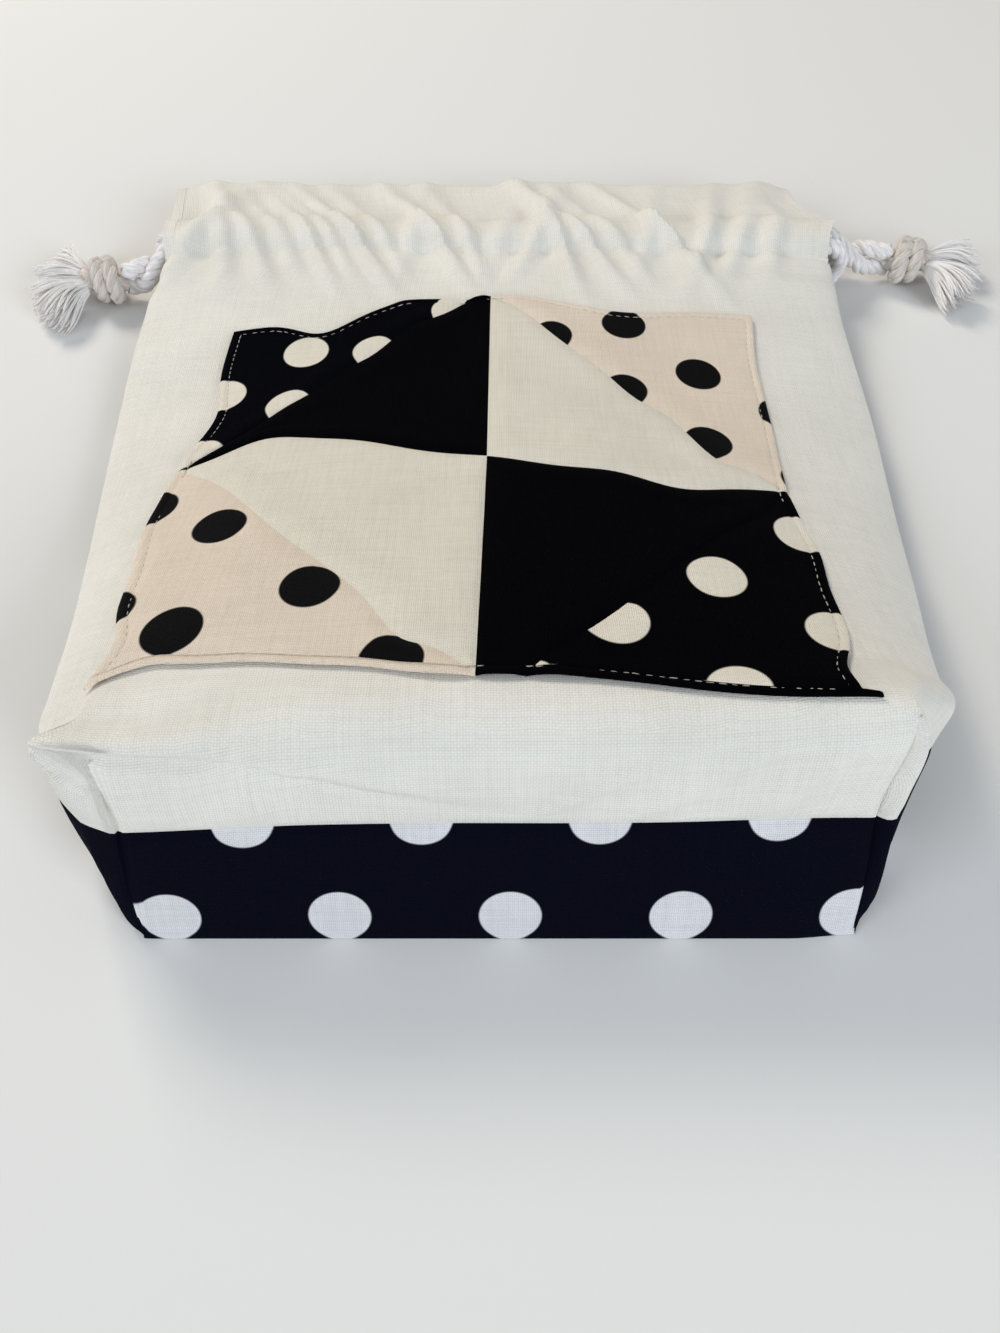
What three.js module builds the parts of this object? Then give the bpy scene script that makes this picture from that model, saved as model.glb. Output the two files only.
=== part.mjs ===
import * as THREE from "three";

// Cotton drawstring pouch with a boxed bottom, lying on its back with the mouth open.
// Millimetres. +X is across the pouch, +Y runs from the boxed bottom to the mouth, +Z is up.
// Y is counted from the lower edge of the bottom face, and is centred on the footprint at the end.

// Cloth, thread and clearances
const CLOTH = 0.8;
const PATCH_CLOTH = 1;
const GAP = 0.3;
const THREAD = 0.6;

// Patchwork square of four blocks, each sewn from two triangles
const BLOCK = 79;
const STITCH_INSET = 2;
const FOLD_TO_PATCH = 15.4;
const PATCH_TO_CHANNEL = 25.7;
const SIDE_MARGIN = 29;

// Boxed bottom: the face leans back from its lower edge to the fold at its top
const BASE_HALF_WIDTH = 77;
const SEAM_HEIGHT = 27;
const SEAM_SETBACK = 14;
const FOLD_HEIGHT = 52;
const FOLD_SETBACK = 20.6;

// How soon the sides bulge beside the bottom face, and how much of the back lies flat
const BULGE_LENGTH = 20;
const FLAT_SHARE = 0.78;

// Drawcords, their two channels and the header beyond them
const CORD = 5.5;
const CORD_SPACING = 6.6;
const CORD_INTO_SLOPE = 0.15;
const MOUTH_GAP = 4.85;
const HEM_LENGTH = 2.7;
const HEM_INSET = 1;
const STITCH_MARGIN = 2.5;
const STITCH_END_INSET = 1;
const CHANNEL_SLOPE = 2.1;
const HEADER_LENGTH = 29.4;
const HEADER_DROP = 2.4;

// Knots: how far each lies out from the cord's bend, and how far nearer than its channel
const LEFT_REACH = 23.9;
const LEFT_STRAY = 5.7;
const RIGHT_REACH = 30.9;
const RIGHT_STRAY = 1.3;
const KNOT_LENGTH = 13;
const KNOT_HALF_WIDTH = 8.6;
const KNOT_HALF_HEIGHT = 7.4;
const KNOT_INNER_FACE = 6.36;
const KNOT_OUTER_FACE = 5.1;
const STRAND_GAP = 0.4;

// Tassels: the frayed ends that fan out from each knot
const TASSEL_LENGTH = 19;
const TASSEL_HALF_WIDTH = 8;
const TASSEL_HALF_HEIGHT = 4.6;
const TASSEL_NECK = 3;
const TASSEL_NECK_LENGTH = 3;
const TASSEL_TIP = 2.25;
const TASSEL_TIP_LENGTH = 0.8;
const TASSEL_DROP = 1.5;

// Seam allowances inside
const ALLOWANCE = 8;
const ALLOWANCE_CLOTH = 1.6;
const CORNER_ALLOWANCE = 4.8;
const CORNER_INSET = 5;

// Counts of cells and sides
const BLOCK_CELLS = 6;
const SIDE_CELLS = 3;
const FOLD_ROWS = 3;
const CHANNEL_ROWS = 2;
const BOTTOM_SEAM_CELLS = 4;
const CORD_SIDES = 8;
const CORD_STEPS = 16;
const BEND_STEPS = 6;
const KNOT_SIDES = 14;

// Levels and places that follow from the sizes above
const HALF_CLOTH = CLOTH / 2;
const LAYER = CLOTH + GAP;
const WALL = CORD / 2 + GAP + HALF_CLOTH;
const BACK_CORD_Z = HALF_CLOTH + WALL;
const FRONT_CORD_Z = BACK_CORD_Z + 2 * (WALL + HALF_CLOTH) + MOUTH_GAP;
const PATCH_START = FOLD_SETBACK + FOLD_TO_PATCH;
const PATCH_MIDDLE = PATCH_START + BLOCK;
const PATCH_END = PATCH_START + 2 * BLOCK;
const PANEL_LENGTH = PATCH_END + PATCH_TO_CHANNEL;
const CHANNEL_START = PANEL_LENGTH + GAP;
const FIRST_CORD_Y = CHANNEL_START + STITCH_MARGIN + CHANNEL_SLOPE + CORD / 2 - CORD_INTO_SLOPE;
const SECOND_CORD_Y = FIRST_CORD_Y + CORD_SPACING;
const CHANNEL_END = SECOND_CORD_Y + CORD / 2 + CHANNEL_SLOPE;
const MOUTH_EDGE = CHANNEL_END + HEADER_LENGTH;
const MOUTH_HALF_WIDTH = BLOCK + SIDE_MARGIN;
const HEM_END = MOUTH_HALF_WIDTH - HEM_INSET;
const HEM_START = HEM_END - HEM_LENGTH;
const CASING_HALF_LENGTH = HEM_START - GAP;
const BEND_X = HEM_END + 2 * GAP;

// The pouch's section along its length, as [share of the length, value]: the height of its crest,
// its half width, the height of its side seams, and how square its top is (2 is an ellipse)
const CREST = [
  [0, FOLD_HEIGHT],
  [0.082, FOLD_HEIGHT - 3.5],
  [0.474, 30],
  [0.87, 18.4],
  [1, FRONT_CORD_Z + LAYER / 2],
];
const HALF_WIDTH = [
  [0, BLOCK + 7],
  [0.047, BLOCK + 12],
  [0.188, BLOCK + 18],
  [0.585, MOUTH_HALF_WIDTH],
  [1, MOUTH_HALF_WIDTH],
];
const SIDE_SEAM = [[0, SEAM_HEIGHT], [0.072, SEAM_HEIGHT - 3], [0.248, 15], [0.585, 9], [1, 10]];
const SQUARENESS = [[0, 6], [0.082, 3.9], [0.489, 1.75], [0.87, 2.4], [1, 7]];

const COLOURS = {
  ivory: [0xdedacb, 0.85],
  ivoryLight: [0xe6e4de, 0.85],
  dottedBack: [0x10131f, 0.8],
  black: [0x0b0d14, 0.85],
  blackDotted: [0x14151b, 0.85],
  cream: [0xd8d3bf, 0.85],
  creamDotted: [0xe2cdb4, 0.85],
  thread: [0xb8b4aa, 0.7],
  cord: [0xe4dcd8, 0.9],
};

const pouch = new THREE.Group();
pouch.position.y = -(MOUTH_EDGE - HALF_CLOTH) / 2;

/** Adds a closed geometry to the pouch as a named piece. */
function addPiece(name, geometry, [color, roughness]) {
  const mesh = new THREE.Mesh(geometry, new THREE.MeshStandardMaterial({ color, roughness }));
  mesh.name = name;
  pouch.add(mesh);
  return mesh;
}

const mix = (a, b, t) => a + (b - a) * t;
const clamp = (value) => Math.min(Math.max(value, 0), 1);
const signOf = (value) => (value < 0 ? -1 : 1);

/** Share of the panels' length, counted on the front's middle line. */
const lengthShare = (y) => (y - FOLD_SETBACK) / (PANEL_LENGTH - FOLD_SETBACK);

/** A smooth value at y through a few [share of the length, value] pairs, held beyond both ends. */
function along(pairs, y) {
  const share = lengthShare(y);
  const last = pairs.length - 1;
  const slope = (a, b) => (pairs[b][1] - pairs[a][1]) / (pairs[b][0] - pairs[a][0]);
  const tangent = (k) => slope(Math.max(k - 1, 0), Math.min(k + 1, last));
  const i = Math.max(pairs.findLastIndex((pair, k) => k < last && pair[0] <= share), 0);
  const width = pairs[i + 1][0] - pairs[i][0];
  const t = clamp((share - pairs[i][0]) / width);
  const fromStart = (1 + 2 * t) * pairs[i][1] + t * width * tangent(i);
  const fromEnd = (3 - 2 * t) * pairs[i + 1][1] + (t - 1) * width * tangent(i + 1);
  return (1 - t) ** 2 * fromStart + t ** 2 * fromEnd;
}

/** How far the section has rounded off: 0 at the bottom face, 1 from the bulge's end on. */
const roundness = (y) => Math.sqrt(clamp((y - FOLD_SETBACK) / BULGE_LENGTH));

/**
 * A point of the front cloth. x counts across the patchwork, side goes from 0 at its edge to 1 at
 * the side seam, and y is the place on the middle line.
 */
function frontPoint(x, side, y) {
  const halfWidth = along(HALF_WIDTH, y);
  const across = mix(Math.abs(x), halfWidth, Math.sin((side * Math.PI) / 2));
  const power = along(SQUARENESS, y);
  const rise = (1 - clamp(across / halfWidth) ** power) ** (1 / power);
  const softZ = mix(along(SIDE_SEAM, y), along(CREST, y), rise);
  const boxX = mix(Math.abs(x) * (BASE_HALF_WIDTH / BLOCK), BASE_HALF_WIDTH, side);
  const boxZ = mix(FOLD_HEIGHT, SEAM_HEIGHT, side);
  const lean = side * (FOLD_SETBACK - SEAM_SETBACK) * (1 - lengthShare(y));
  const round = roundness(y);
  const outX = signOf(x) * mix(boxX, across, round);
  return new THREE.Vector3(outX, y - lean, mix(boxZ, softZ, round));
}

/**
 * A point of the back cloth. share goes from -1 to 1 across the part that lies flat, side from 0
 * at its edge to 1 at the side seam, and y is the place on the front's middle line.
 */
function backPoint(share, side, y) {
  const out = mix(Math.abs(share) * FLAT_SHARE, 1, Math.sin((side * Math.PI) / 2));
  const curl = clamp((out - FLAT_SHARE) / (1 - FLAT_SHARE));
  const softZ = mix(along(SIDE_SEAM, y), HALF_CLOTH, Math.sqrt(1 - curl ** 2));
  const boxX = mix(Math.abs(share) * BASE_HALF_WIDTH, BASE_HALF_WIDTH, side);
  const boxZ = mix(HALF_CLOTH, SEAM_HEIGHT, side);
  const start = side * SEAM_SETBACK;
  const round = roundness(y);
  return new THREE.Vector3(
    signOf(share) * mix(boxX, out * along(HALF_WIDTH, y), round),
    mix(start, PANEL_LENGTH, lengthShare(y)),
    mix(boxZ, softZ, round),
  );
}

/** A sheet of triangles that is given a thickness along its normals. */
class Sheet {
  points = [];
  squared = [];
  triangles = [];
  found = new Map();

  /** The number of a point. Its thickness runs square to the axes named in squareTo. */
  point(place, squareTo = "") {
    const key = place.toArray().map((value) => Math.round(value * 1000)).join();
    if (!this.found.has(key)) {
      this.found.set(key, this.points.length);
      this.points.push(place);
      this.squared.push(squareTo);
    }
    return this.found.get(key);
  }

  /** Two triangles over the corners a, b, c, d, split from a to c or from b to d. */
  quad(a, b, c, d, splitBD = false) {
    const halves = splitBD ? [[a, b, d], [b, c, d]] : [[a, b, c], [a, c, d]];
    this.triangles.push(...halves.filter((t) => new Set(t).size === 3));
  }

  /** A grid of quads over rows of point numbers, split as splitAt(row, column) says. */
  rows(grid, splitAt = () => false) {
    for (let r = 0; r + 1 < grid.length; r++) {
      for (let c = 0; c + 1 < grid[r].length; c++) {
        this.quad(grid[r][c], grid[r][c + 1], grid[r + 1][c + 1], grid[r + 1][c], splitAt(r, c));
      }
    }
  }

  normals() {
    const sums = this.points.map(() => new THREE.Vector3());
    for (const triangle of this.triangles) {
      const [a, b, c] = triangle.map((k) => this.points[k]);
      const face = b.clone().sub(a).cross(c.clone().sub(a));
      for (const k of triangle) sums[k].add(face);
    }
    sums.forEach((sum, k) => {
      for (const axis of this.squared[k]) sum[axis] = 0;
      sum.normalize();
    });
    return sums;
  }

  /** The closed solid between two distances from the sheet. */
  solid(inner, outer) {
    const normals = this.normals();
    const count = this.points.length;
    const place = (distance) => this.points.map(
      (p, k) => p.clone().addScaledVector(normals[k], distance),
    );
    const faces = [];
    const sides = ([a, b, c]) => [`${a} ${b}`, `${b} ${c}`, `${c} ${a}`];
    const edges = new Set(this.triangles.flatMap(sides));
    for (const [a, b, c] of this.triangles) {
      faces.push(a, b, c, count + a, count + c, count + b);
    }
    for (const edge of edges) {
      const [a, b] = edge.split(" ").map(Number);
      if (!edges.has(`${b} ${a}`)) faces.push(count + a, count + b, b, count + a, b, a);
    }
    const geometry = new THREE.BufferGeometry();
    const positions = [...place(outer), ...place(inner)].flatMap((p) => p.toArray());
    geometry.setAttribute("position", new THREE.Float32BufferAttribute(positions, 3));
    geometry.setIndex(faces);
    return geometry;
  }
}

/** Evenly spaced values from start to end. */
function steps(start, end, count) {
  return Array.from({ length: count + 1 }, (_, k) => mix(start, end, k / count));
}

/** Places across a panel: its middle part, then the margin on each side down to the side seam. */
function columns(halfSpan) {
  const margin = steps(0, 1, SIDE_CELLS).slice(1);
  return [
    ...margin.toReversed().map((side) => [-halfSpan, side]),
    ...steps(-halfSpan, halfSpan, 2 * BLOCK_CELLS).map((x) => [x, 0]),
    ...margin.map((side) => [halfSpan, side]),
  ];
}

const PANEL_ROWS = [
  ...steps(FOLD_SETBACK, PATCH_START, FOLD_ROWS).slice(0, -1),
  ...steps(PATCH_START, PATCH_END, 2 * BLOCK_CELLS),
  ...steps(PATCH_END, PANEL_LENGTH, CHANNEL_ROWS).slice(1),
];

/** The quads of the patchwork are split along its diagonals, and the panel below it alike. */
function splitsUpward(x, y) {
  return x * (y - PATCH_MIDDLE) > 0;
}

/** A panel's thickness runs level at its side seams, and upright at its channel's end. */
function panelEdge(side, row) {
  return (side === 1 ? "z" : "") + (row === PANEL_ROWS.length - 1 ? "y" : "");
}

/** The bottom face's half of a panel, from its fold down or up to the bottom seam. */
function addFace(sheet, edgeRow, seamLevel, splitBD) {
  const middle = edgeRow.slice(SIDE_CELLS, -SIDE_CELLS);
  const left = edgeRow.slice(0, SIDE_CELLS).toReversed();
  const right = edgeRow.slice(-SIDE_CELLS);
  const fold = sheet.points[middle[0]];
  const grid = [middle];
  for (let m = 1; m <= SIDE_CELLS; m++) {
    const share = m / SIDE_CELLS;
    const inside = middle.slice(1, -1).map((k) => {
      const top = sheet.points[k];
      const y = mix(fold.y, SEAM_SETBACK, share);
      const place = new THREE.Vector3(top.x, y, mix(fold.z, seamLevel, share));
      return sheet.point(place, m === SIDE_CELLS ? "z" : "");
    });
    grid.push([left[m - 1], ...inside, right[m - 1]]);
  }
  sheet.rows(splitBD ? grid.toReversed() : grid, () => splitBD);
}

function frontSheet() {
  const sheet = new Sheet();
  const places = columns(BLOCK);
  const grid = PANEL_ROWS.map((y, row) => places.map(([x, side]) => {
    const place = frontPoint(x, side, y);
    place.z += (side * GAP) / 2;
    return sheet.point(place, panelEdge(side, row));
  }));
  const middleX = (c) => (places[c][0] + places[c + 1][0]) / 2;
  const middleY = (r) => (PANEL_ROWS[r] + PANEL_ROWS[r + 1]) / 2;
  sheet.rows(grid, (r, c) => splitsUpward(middleX(c), middleY(r)));
  addFace(sheet, grid[0], SEAM_HEIGHT + GAP / 2, true);
  return sheet;
}

function backSheet() {
  const sheet = new Sheet();
  const places = columns(1);
  const grid = PANEL_ROWS.map((y, row) => places.map(([share, side]) => {
    const place = backPoint(share, side, y);
    place.z -= (side * GAP) / 2;
    return sheet.point(place, panelEdge(side, row));
  }));
  sheet.rows(grid.toReversed(), (r, c) => places[c][0] + places[c + 1][0] >= 0);
  addFace(sheet, grid[0], SEAM_HEIGHT - GAP / 2, false);
  return sheet;
}

/** The shift that keeps a corner of a patch the given distance off the patch's sewn edges. */
function awayFrom(edges, distance) {
  if (edges.length === 0) return [0, 0];
  if (edges.length === 1) return edges[0].map((value) => value * distance);
  const [[a, b], [c, d]] = edges;
  const scale = distance / (a * d - b * c);
  return [(d - b) * scale, (a - c) * scale];
}

/** The sewn edges, as inward directions, that meet at a place of a block's inner or outer patch. */
function sewnEdges(i, j, inner) {
  const diagonal = inner ? -Math.SQRT1_2 : Math.SQRT1_2;
  const edges = [];
  if (i === 0) edges.push([1, 0]);
  if (j === 0) edges.push([0, 1]);
  if (i + j === BLOCK_CELLS) edges.push([diagonal, diagonal]);
  return edges;
}

/** One triangle of the patchwork. right and up are -1 or 1, and i and j count from the centre. */
function patchSheet(right, up, inner) {
  const sheet = new Sheet();
  const cell = BLOCK / BLOCK_CELLS;
  const corner = (i, j) => {
    const [shiftX, shiftY] = awayFrom(sewnEdges(i, j, inner), GAP / 2);
    const x = right * (i * cell + shiftX);
    return sheet.point(frontPoint(x, 0, PATCH_MIDDLE + up * (j * cell + shiftY)));
  };
  const face = (...places) => {
    const numbers = places.map(([i, j]) => corner(i, j));
    sheet.triangles.push(right * up > 0 ? numbers : numbers.toReversed());
  };
  for (let i = 0; i < BLOCK_CELLS; i++) {
    for (let j = 0; j < BLOCK_CELLS; j++) {
      const beyond = i + j + 1 - BLOCK_CELLS;
      const nearHalf = inner ? beyond <= 0 : beyond > 0;
      const farHalf = inner ? beyond < 0 : beyond >= 0;
      if (nearHalf) face([i, j], [i + 1, j], [i, j + 1]);
      if (farHalf) face([i + 1, j], [i + 1, j + 1], [i, j + 1]);
    }
  }
  return sheet;
}

/** The line of topstitching round the patchwork, as a flat closed strip. */
function topstitchSheet() {
  const sheet = new Sheet();
  const inset = (distance) => {
    const half = BLOCK - distance;
    const side = steps(-half, half, 2 * BLOCK_CELLS).slice(0, -1);
    return [
      ...side.map((t) => [t, -half]),
      ...side.map((t) => [half, t]),
      ...side.map((t) => [-t, half]),
      ...side.map((t) => [-half, -t]),
    ].map(([x, v]) => sheet.point(frontPoint(x, 0, PATCH_MIDDLE + v)));
  };
  const outer = inset(STITCH_INSET - THREAD / 2);
  const inner = inset(STITCH_INSET + THREAD / 2);
  outer.forEach((a, k) => {
    const next = (k + 1) % outer.length;
    sheet.quad(a, outer[next], inner[next], inner[k]);
  });
  return sheet;
}

/** Offsets an open line of [y, z] points to both sides, as a closed shape. */
function strokeShape(line, halfThickness) {
  const leftOf = (tangent) => new THREE.Vector2(-tangent.y, tangent.x);
  const points = line.map(([y, z]) => new THREE.Vector2(y, z));
  const offset = (k, side) => {
    const before = points[k].clone().sub(points[Math.max(k - 1, 0)]);
    const after = points[Math.min(k + 1, points.length - 1)].clone().sub(points[k]);
    const tangents = [before, after].filter((t) => t.length() > 0).map((t) => t.normalize());
    const normal = new THREE.Vector2();
    tangents.forEach((tangent) => normal.add(leftOf(tangent)));
    normal.normalize();
    const mitre = normal.dot(leftOf(tangents[0]));
    return points[k].clone().addScaledVector(normal, (side * halfThickness) / mitre);
  };
  const left = points.map((_, k) => offset(k, 1));
  const right = points.map((_, k) => offset(k, -1));
  return new THREE.Shape([...left, ...right.toReversed()]);
}

/** A [y, z] outline swept along X between two places. */
function sweptAlongX(shape, startX, endX) {
  const geometry = new THREE.ExtrudeGeometry(shape, { depth: endX - startX, bevelEnabled: false });
  geometry.rotateX(Math.PI / 2);
  geometry.rotateZ(Math.PI / 2);
  geometry.translate(startX, 0, 0);
  return geometry;
}

/** The line of a folded channel: out along its outer layer, round the mouth edge and back. */
function channelLine(stitch, wall, edge) {
  const slopeStart = CHANNEL_START + STITCH_MARGIN;
  const places = [
    [CHANNEL_START, stitch],
    [slopeStart, stitch],
    [slopeStart + CHANNEL_SLOPE, wall],
    [CHANNEL_END - CHANNEL_SLOPE, wall],
    [CHANNEL_END, stitch],
    [MOUTH_EDGE - LAYER / 2 - HALF_CLOTH, edge],
  ];
  const tip = [MOUTH_EDGE - HALF_CLOTH, (edge[0] + edge[1]) / 2];
  const outer = places.map(([y, level]) => [y, level[0]]);
  const inner = places.map(([y, level]) => [y, level[1]]);
  inner[0][0] += HALF_CLOTH;
  return [...outer, tip, ...inner.toReversed()];
}

const FRONT_EDGE_Z = FRONT_CORD_Z - HEADER_DROP;
const FRONT_CHANNEL = channelLine(
  [FRONT_CORD_Z + LAYER / 2, FRONT_CORD_Z - LAYER / 2],
  [FRONT_CORD_Z + WALL, FRONT_CORD_Z - WALL],
  [FRONT_EDGE_Z + LAYER / 2, FRONT_EDGE_Z - LAYER / 2],
);
const BACK_CHANNEL = channelLine(
  [HALF_CLOTH, HALF_CLOTH + LAYER],
  [HALF_CLOTH, BACK_CORD_Z + WALL],
  [HALF_CLOTH, HALF_CLOTH + LAYER],
);

function addPanels() {
  addPiece("front_panel", frontSheet().solid(-HALF_CLOTH, HALF_CLOTH), COLOURS.ivory);
  addPiece("back_panel", backSheet().solid(-HALF_CLOTH, HALF_CLOTH), COLOURS.dottedBack);
}

function addPatchwork() {
  const lift = HALF_CLOTH + GAP;
  const blocks = [
    ["upper_left", -1, 1, COLOURS.black, COLOURS.blackDotted],
    ["upper_right", 1, 1, COLOURS.cream, COLOURS.creamDotted],
    ["lower_left", -1, -1, COLOURS.cream, COLOURS.creamDotted],
    ["lower_right", 1, -1, COLOURS.black, COLOURS.blackDotted],
  ];
  for (const [place, right, up, plain, dotted] of blocks) {
    const inner = patchSheet(right, up, true).solid(lift, lift + PATCH_CLOTH);
    const outer = patchSheet(right, up, false).solid(lift, lift + PATCH_CLOTH);
    addPiece(`patch_${place}_inner`, inner, plain);
    addPiece(`patch_${place}_outer`, outer, dotted);
  }
  const top = lift + PATCH_CLOTH + GAP;
  addPiece("patch_topstitching", topstitchSheet().solid(top, top + THREAD), COLOURS.thread);
}

/** Both folded channels, and the thread rows that close them. */
function addChannels() {
  const front = strokeShape(FRONT_CHANNEL, HALF_CLOTH);
  const back = strokeShape(BACK_CHANNEL, HALF_CLOTH);
  const ends = [-CASING_HALF_LENGTH, CASING_HALF_LENGTH];
  addPiece("front_casing", sweptAlongX(front, ...ends), COLOURS.ivory);
  addPiece("back_casing", sweptAlongX(back, ...ends), COLOURS.dottedBack);
  const frontTop = FRONT_CORD_Z + LAYER / 2 + HALF_CLOTH;
  const backTop = LAYER + CLOTH;
  addThread("front_casing_lower_stitching", CHANNEL_START + STITCH_MARGIN / 2, frontTop);
  addThread("front_casing_upper_stitching", CHANNEL_END + STITCH_MARGIN / 2, frontTop);
  addThread("back_casing_lower_stitching", CHANNEL_START + STITCH_MARGIN / 2, backTop);
  addThread("back_casing_upper_stitching", CHANNEL_END + STITCH_MARGIN / 2, backTop);
}

/** A row of sewing thread on top of a channel, along X. */
function addThread(name, y, surface) {
  const length = 2 * (CASING_HALF_LENGTH - STITCH_END_INSET);
  const thread = new THREE.BoxGeometry(length, THREAD, THREAD);
  thread.translate(0, y, surface + GAP + THREAD / 2);
  addPiece(name, thread, COLOURS.thread);
}

/** The hem round a side slit: the front channel's end, the slit's foot and the back channel's end. */
function addSlitHem(name, side) {
  const line = [...FRONT_CHANNEL, ...BACK_CHANNEL.toReversed()];
  const shape = strokeShape(line, HALF_CLOTH);
  const start = side < 0 ? -HEM_END : HEM_START;
  addPiece(name, sweptAlongX(shape, start, start + HEM_LENGTH), COLOURS.ivoryLight);
}

/** A route as straight lines between chosen points, so that a sweep puts a ring at each of them. */
class Route extends THREE.Curve {
  constructor(points) {
    super();
    this.points = points;
  }

  getPoint(t, target = new THREE.Vector3()) {
    const place = clamp(t) * (this.points.length - 1);
    const k = Math.min(Math.floor(place), this.points.length - 2);
    return target.lerpVectors(this.points[k], this.points[k + 1], place - k);
  }

  getUtoTmapping(u) {
    return u;
  }
}

/** A round tube along a route. */
function tube(points, diameter) {
  const section = new THREE.Shape();
  section.absarc(0, 0, diameter / 2, 0, 2 * Math.PI);
  return new THREE.ExtrudeGeometry(section, {
    steps: points.length - 1,
    curveSegments: CORD_SIDES,
    extrudePath: new Route(points),
  });
}

// Points of a cord's free end, as shares of its way from the knot to the channel: out, across and up
const FREE_END = [[0.16, 0, 0], [0.42, 0.25, 0.3], [0.72, 0.8, 0.85]];

/**
 * A drawcord's route: from the knot's face along the front channel, round the far slit and back
 * along the back channel. side is -1 for the cord whose knot is on the left.
 */
function cordRoute(side, cordY, knot) {
  const bendRadius = (FRONT_CORD_Z - BACK_CORD_Z) / 2;
  const middleZ = BACK_CORD_Z + bendRadius;
  const face = knot.x - side * (KNOT_LENGTH / 2 + GAP);
  const strand = (CORD + STRAND_GAP) / 2;
  const free = (level, knotZ, sag) => [
    new THREE.Vector3(face, knot.y, knotZ),
    ...FREE_END.map(([out, turn, climb]) => new THREE.Vector3(
      mix(face, side * BEND_X, out),
      mix(knot.y, cordY, turn),
      mix(knotZ, level, climb) - (turn > 0 ? sag : 0),
    )),
  ];
  const run = (level, from, to) => steps(from, to, CORD_STEPS).map(
    (x) => new THREE.Vector3(x, cordY, level),
  );
  const bend = steps(0, Math.PI, BEND_STEPS).slice(1, -1).map((angle) => new THREE.Vector3(
    -side * (BEND_X + bendRadius * Math.sin(angle)),
    cordY,
    middleZ + bendRadius * Math.cos(angle),
  ));
  return [
    ...free(FRONT_CORD_Z, knot.z + strand, 0),
    ...run(FRONT_CORD_Z, side * BEND_X, -side * BEND_X),
    ...bend,
    ...run(BACK_CORD_Z, -side * BEND_X, side * BEND_X),
    ...free(BACK_CORD_Z, knot.z - strand, GAP).toReversed(),
  ];
}

/** A solid turned round +X from an outline of [along, radius] points, flattened to a height. */
function turnedAlongX(outline, heightShare) {
  const points = outline.map(([x, radius]) => new THREE.Vector2(radius, x));
  const geometry = new THREE.LatheGeometry(points, KNOT_SIDES);
  geometry.rotateZ(-Math.PI / 2);
  geometry.scale(1, 1, heightShare);
  return geometry;
}

/** A knot with a flat face at each end, its axis along the cord's way out. */
function addKnot(name, side, knot) {
  const outline = [
    [-KNOT_LENGTH / 2, 0],
    [-KNOT_LENGTH / 2, KNOT_INNER_FACE],
    [-KNOT_LENGTH / 4, KNOT_HALF_WIDTH],
    [KNOT_LENGTH / 5, KNOT_HALF_WIDTH],
    [KNOT_LENGTH / 2, KNOT_OUTER_FACE],
    [KNOT_LENGTH / 2, 0],
  ];
  const geometry = turnedAlongX(outline, KNOT_HALF_HEIGHT / KNOT_HALF_WIDTH);
  if (side < 0) geometry.rotateZ(Math.PI);
  addPiece(name, geometry, COLOURS.cord).position.copy(knot);
}

/**
 * A frayed end that fans out from the knot's outer face, turned by an angle from the cord's way
 * out. row is 1 for the tassel on the mouth's side and -1 for the one nearer the bottom.
 */
function addTassel(name, side, knot, row, degrees) {
  const outline = [
    [0, 0],
    [TASSEL_TIP_LENGTH, TASSEL_TIP],
    [TASSEL_NECK_LENGTH, TASSEL_NECK],
    [TASSEL_LENGTH / 2, (TASSEL_NECK + TASSEL_HALF_WIDTH) / 2],
    [TASSEL_LENGTH - TASSEL_TIP_LENGTH, TASSEL_HALF_WIDTH],
    [TASSEL_LENGTH, 0],
  ];
  const geometry = turnedAlongX(outline, TASSEL_HALF_HEIGHT / TASSEL_HALF_WIDTH);
  const turn = THREE.MathUtils.degToRad(degrees);
  geometry.rotateZ(side < 0 ? Math.PI - turn : turn);
  const mesh = addPiece(name, geometry, COLOURS.cord);
  const clear = KNOT_LENGTH / 2 + GAP + TASSEL_TIP * Math.sin(turn) ** 2;
  const offsetY = row * (TASSEL_NECK + GAP);
  mesh.position.set(knot.x + side * clear, knot.y + offsetY, knot.z - TASSEL_DROP);
}

/** One drawcord with its knot and its two frayed ends. */
function addDrawcord(place, side, cordY, knot, tassels) {
  addPiece(`${place}_drawcord`, tube(cordRoute(side, cordY, knot), CORD), COLOURS.cord);
  addKnot(`${place}_knot`, side, knot);
  tassels.forEach(([name, degrees], k) => {
    addTassel(`${place}_tassel_${name}`, side, knot, k === 0 ? 1 : -1, degrees);
  });
}

/** A flat sewn strip between two edges, each a list of points. */
function strip(edge, otherEdge, thickness) {
  const sheet = new Sheet();
  sheet.rows([edge.map((p) => sheet.point(p)), otherEdge.map((p) => sheet.point(p))]);
  return sheet.solid(-thickness / 2, thickness / 2);
}

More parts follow.
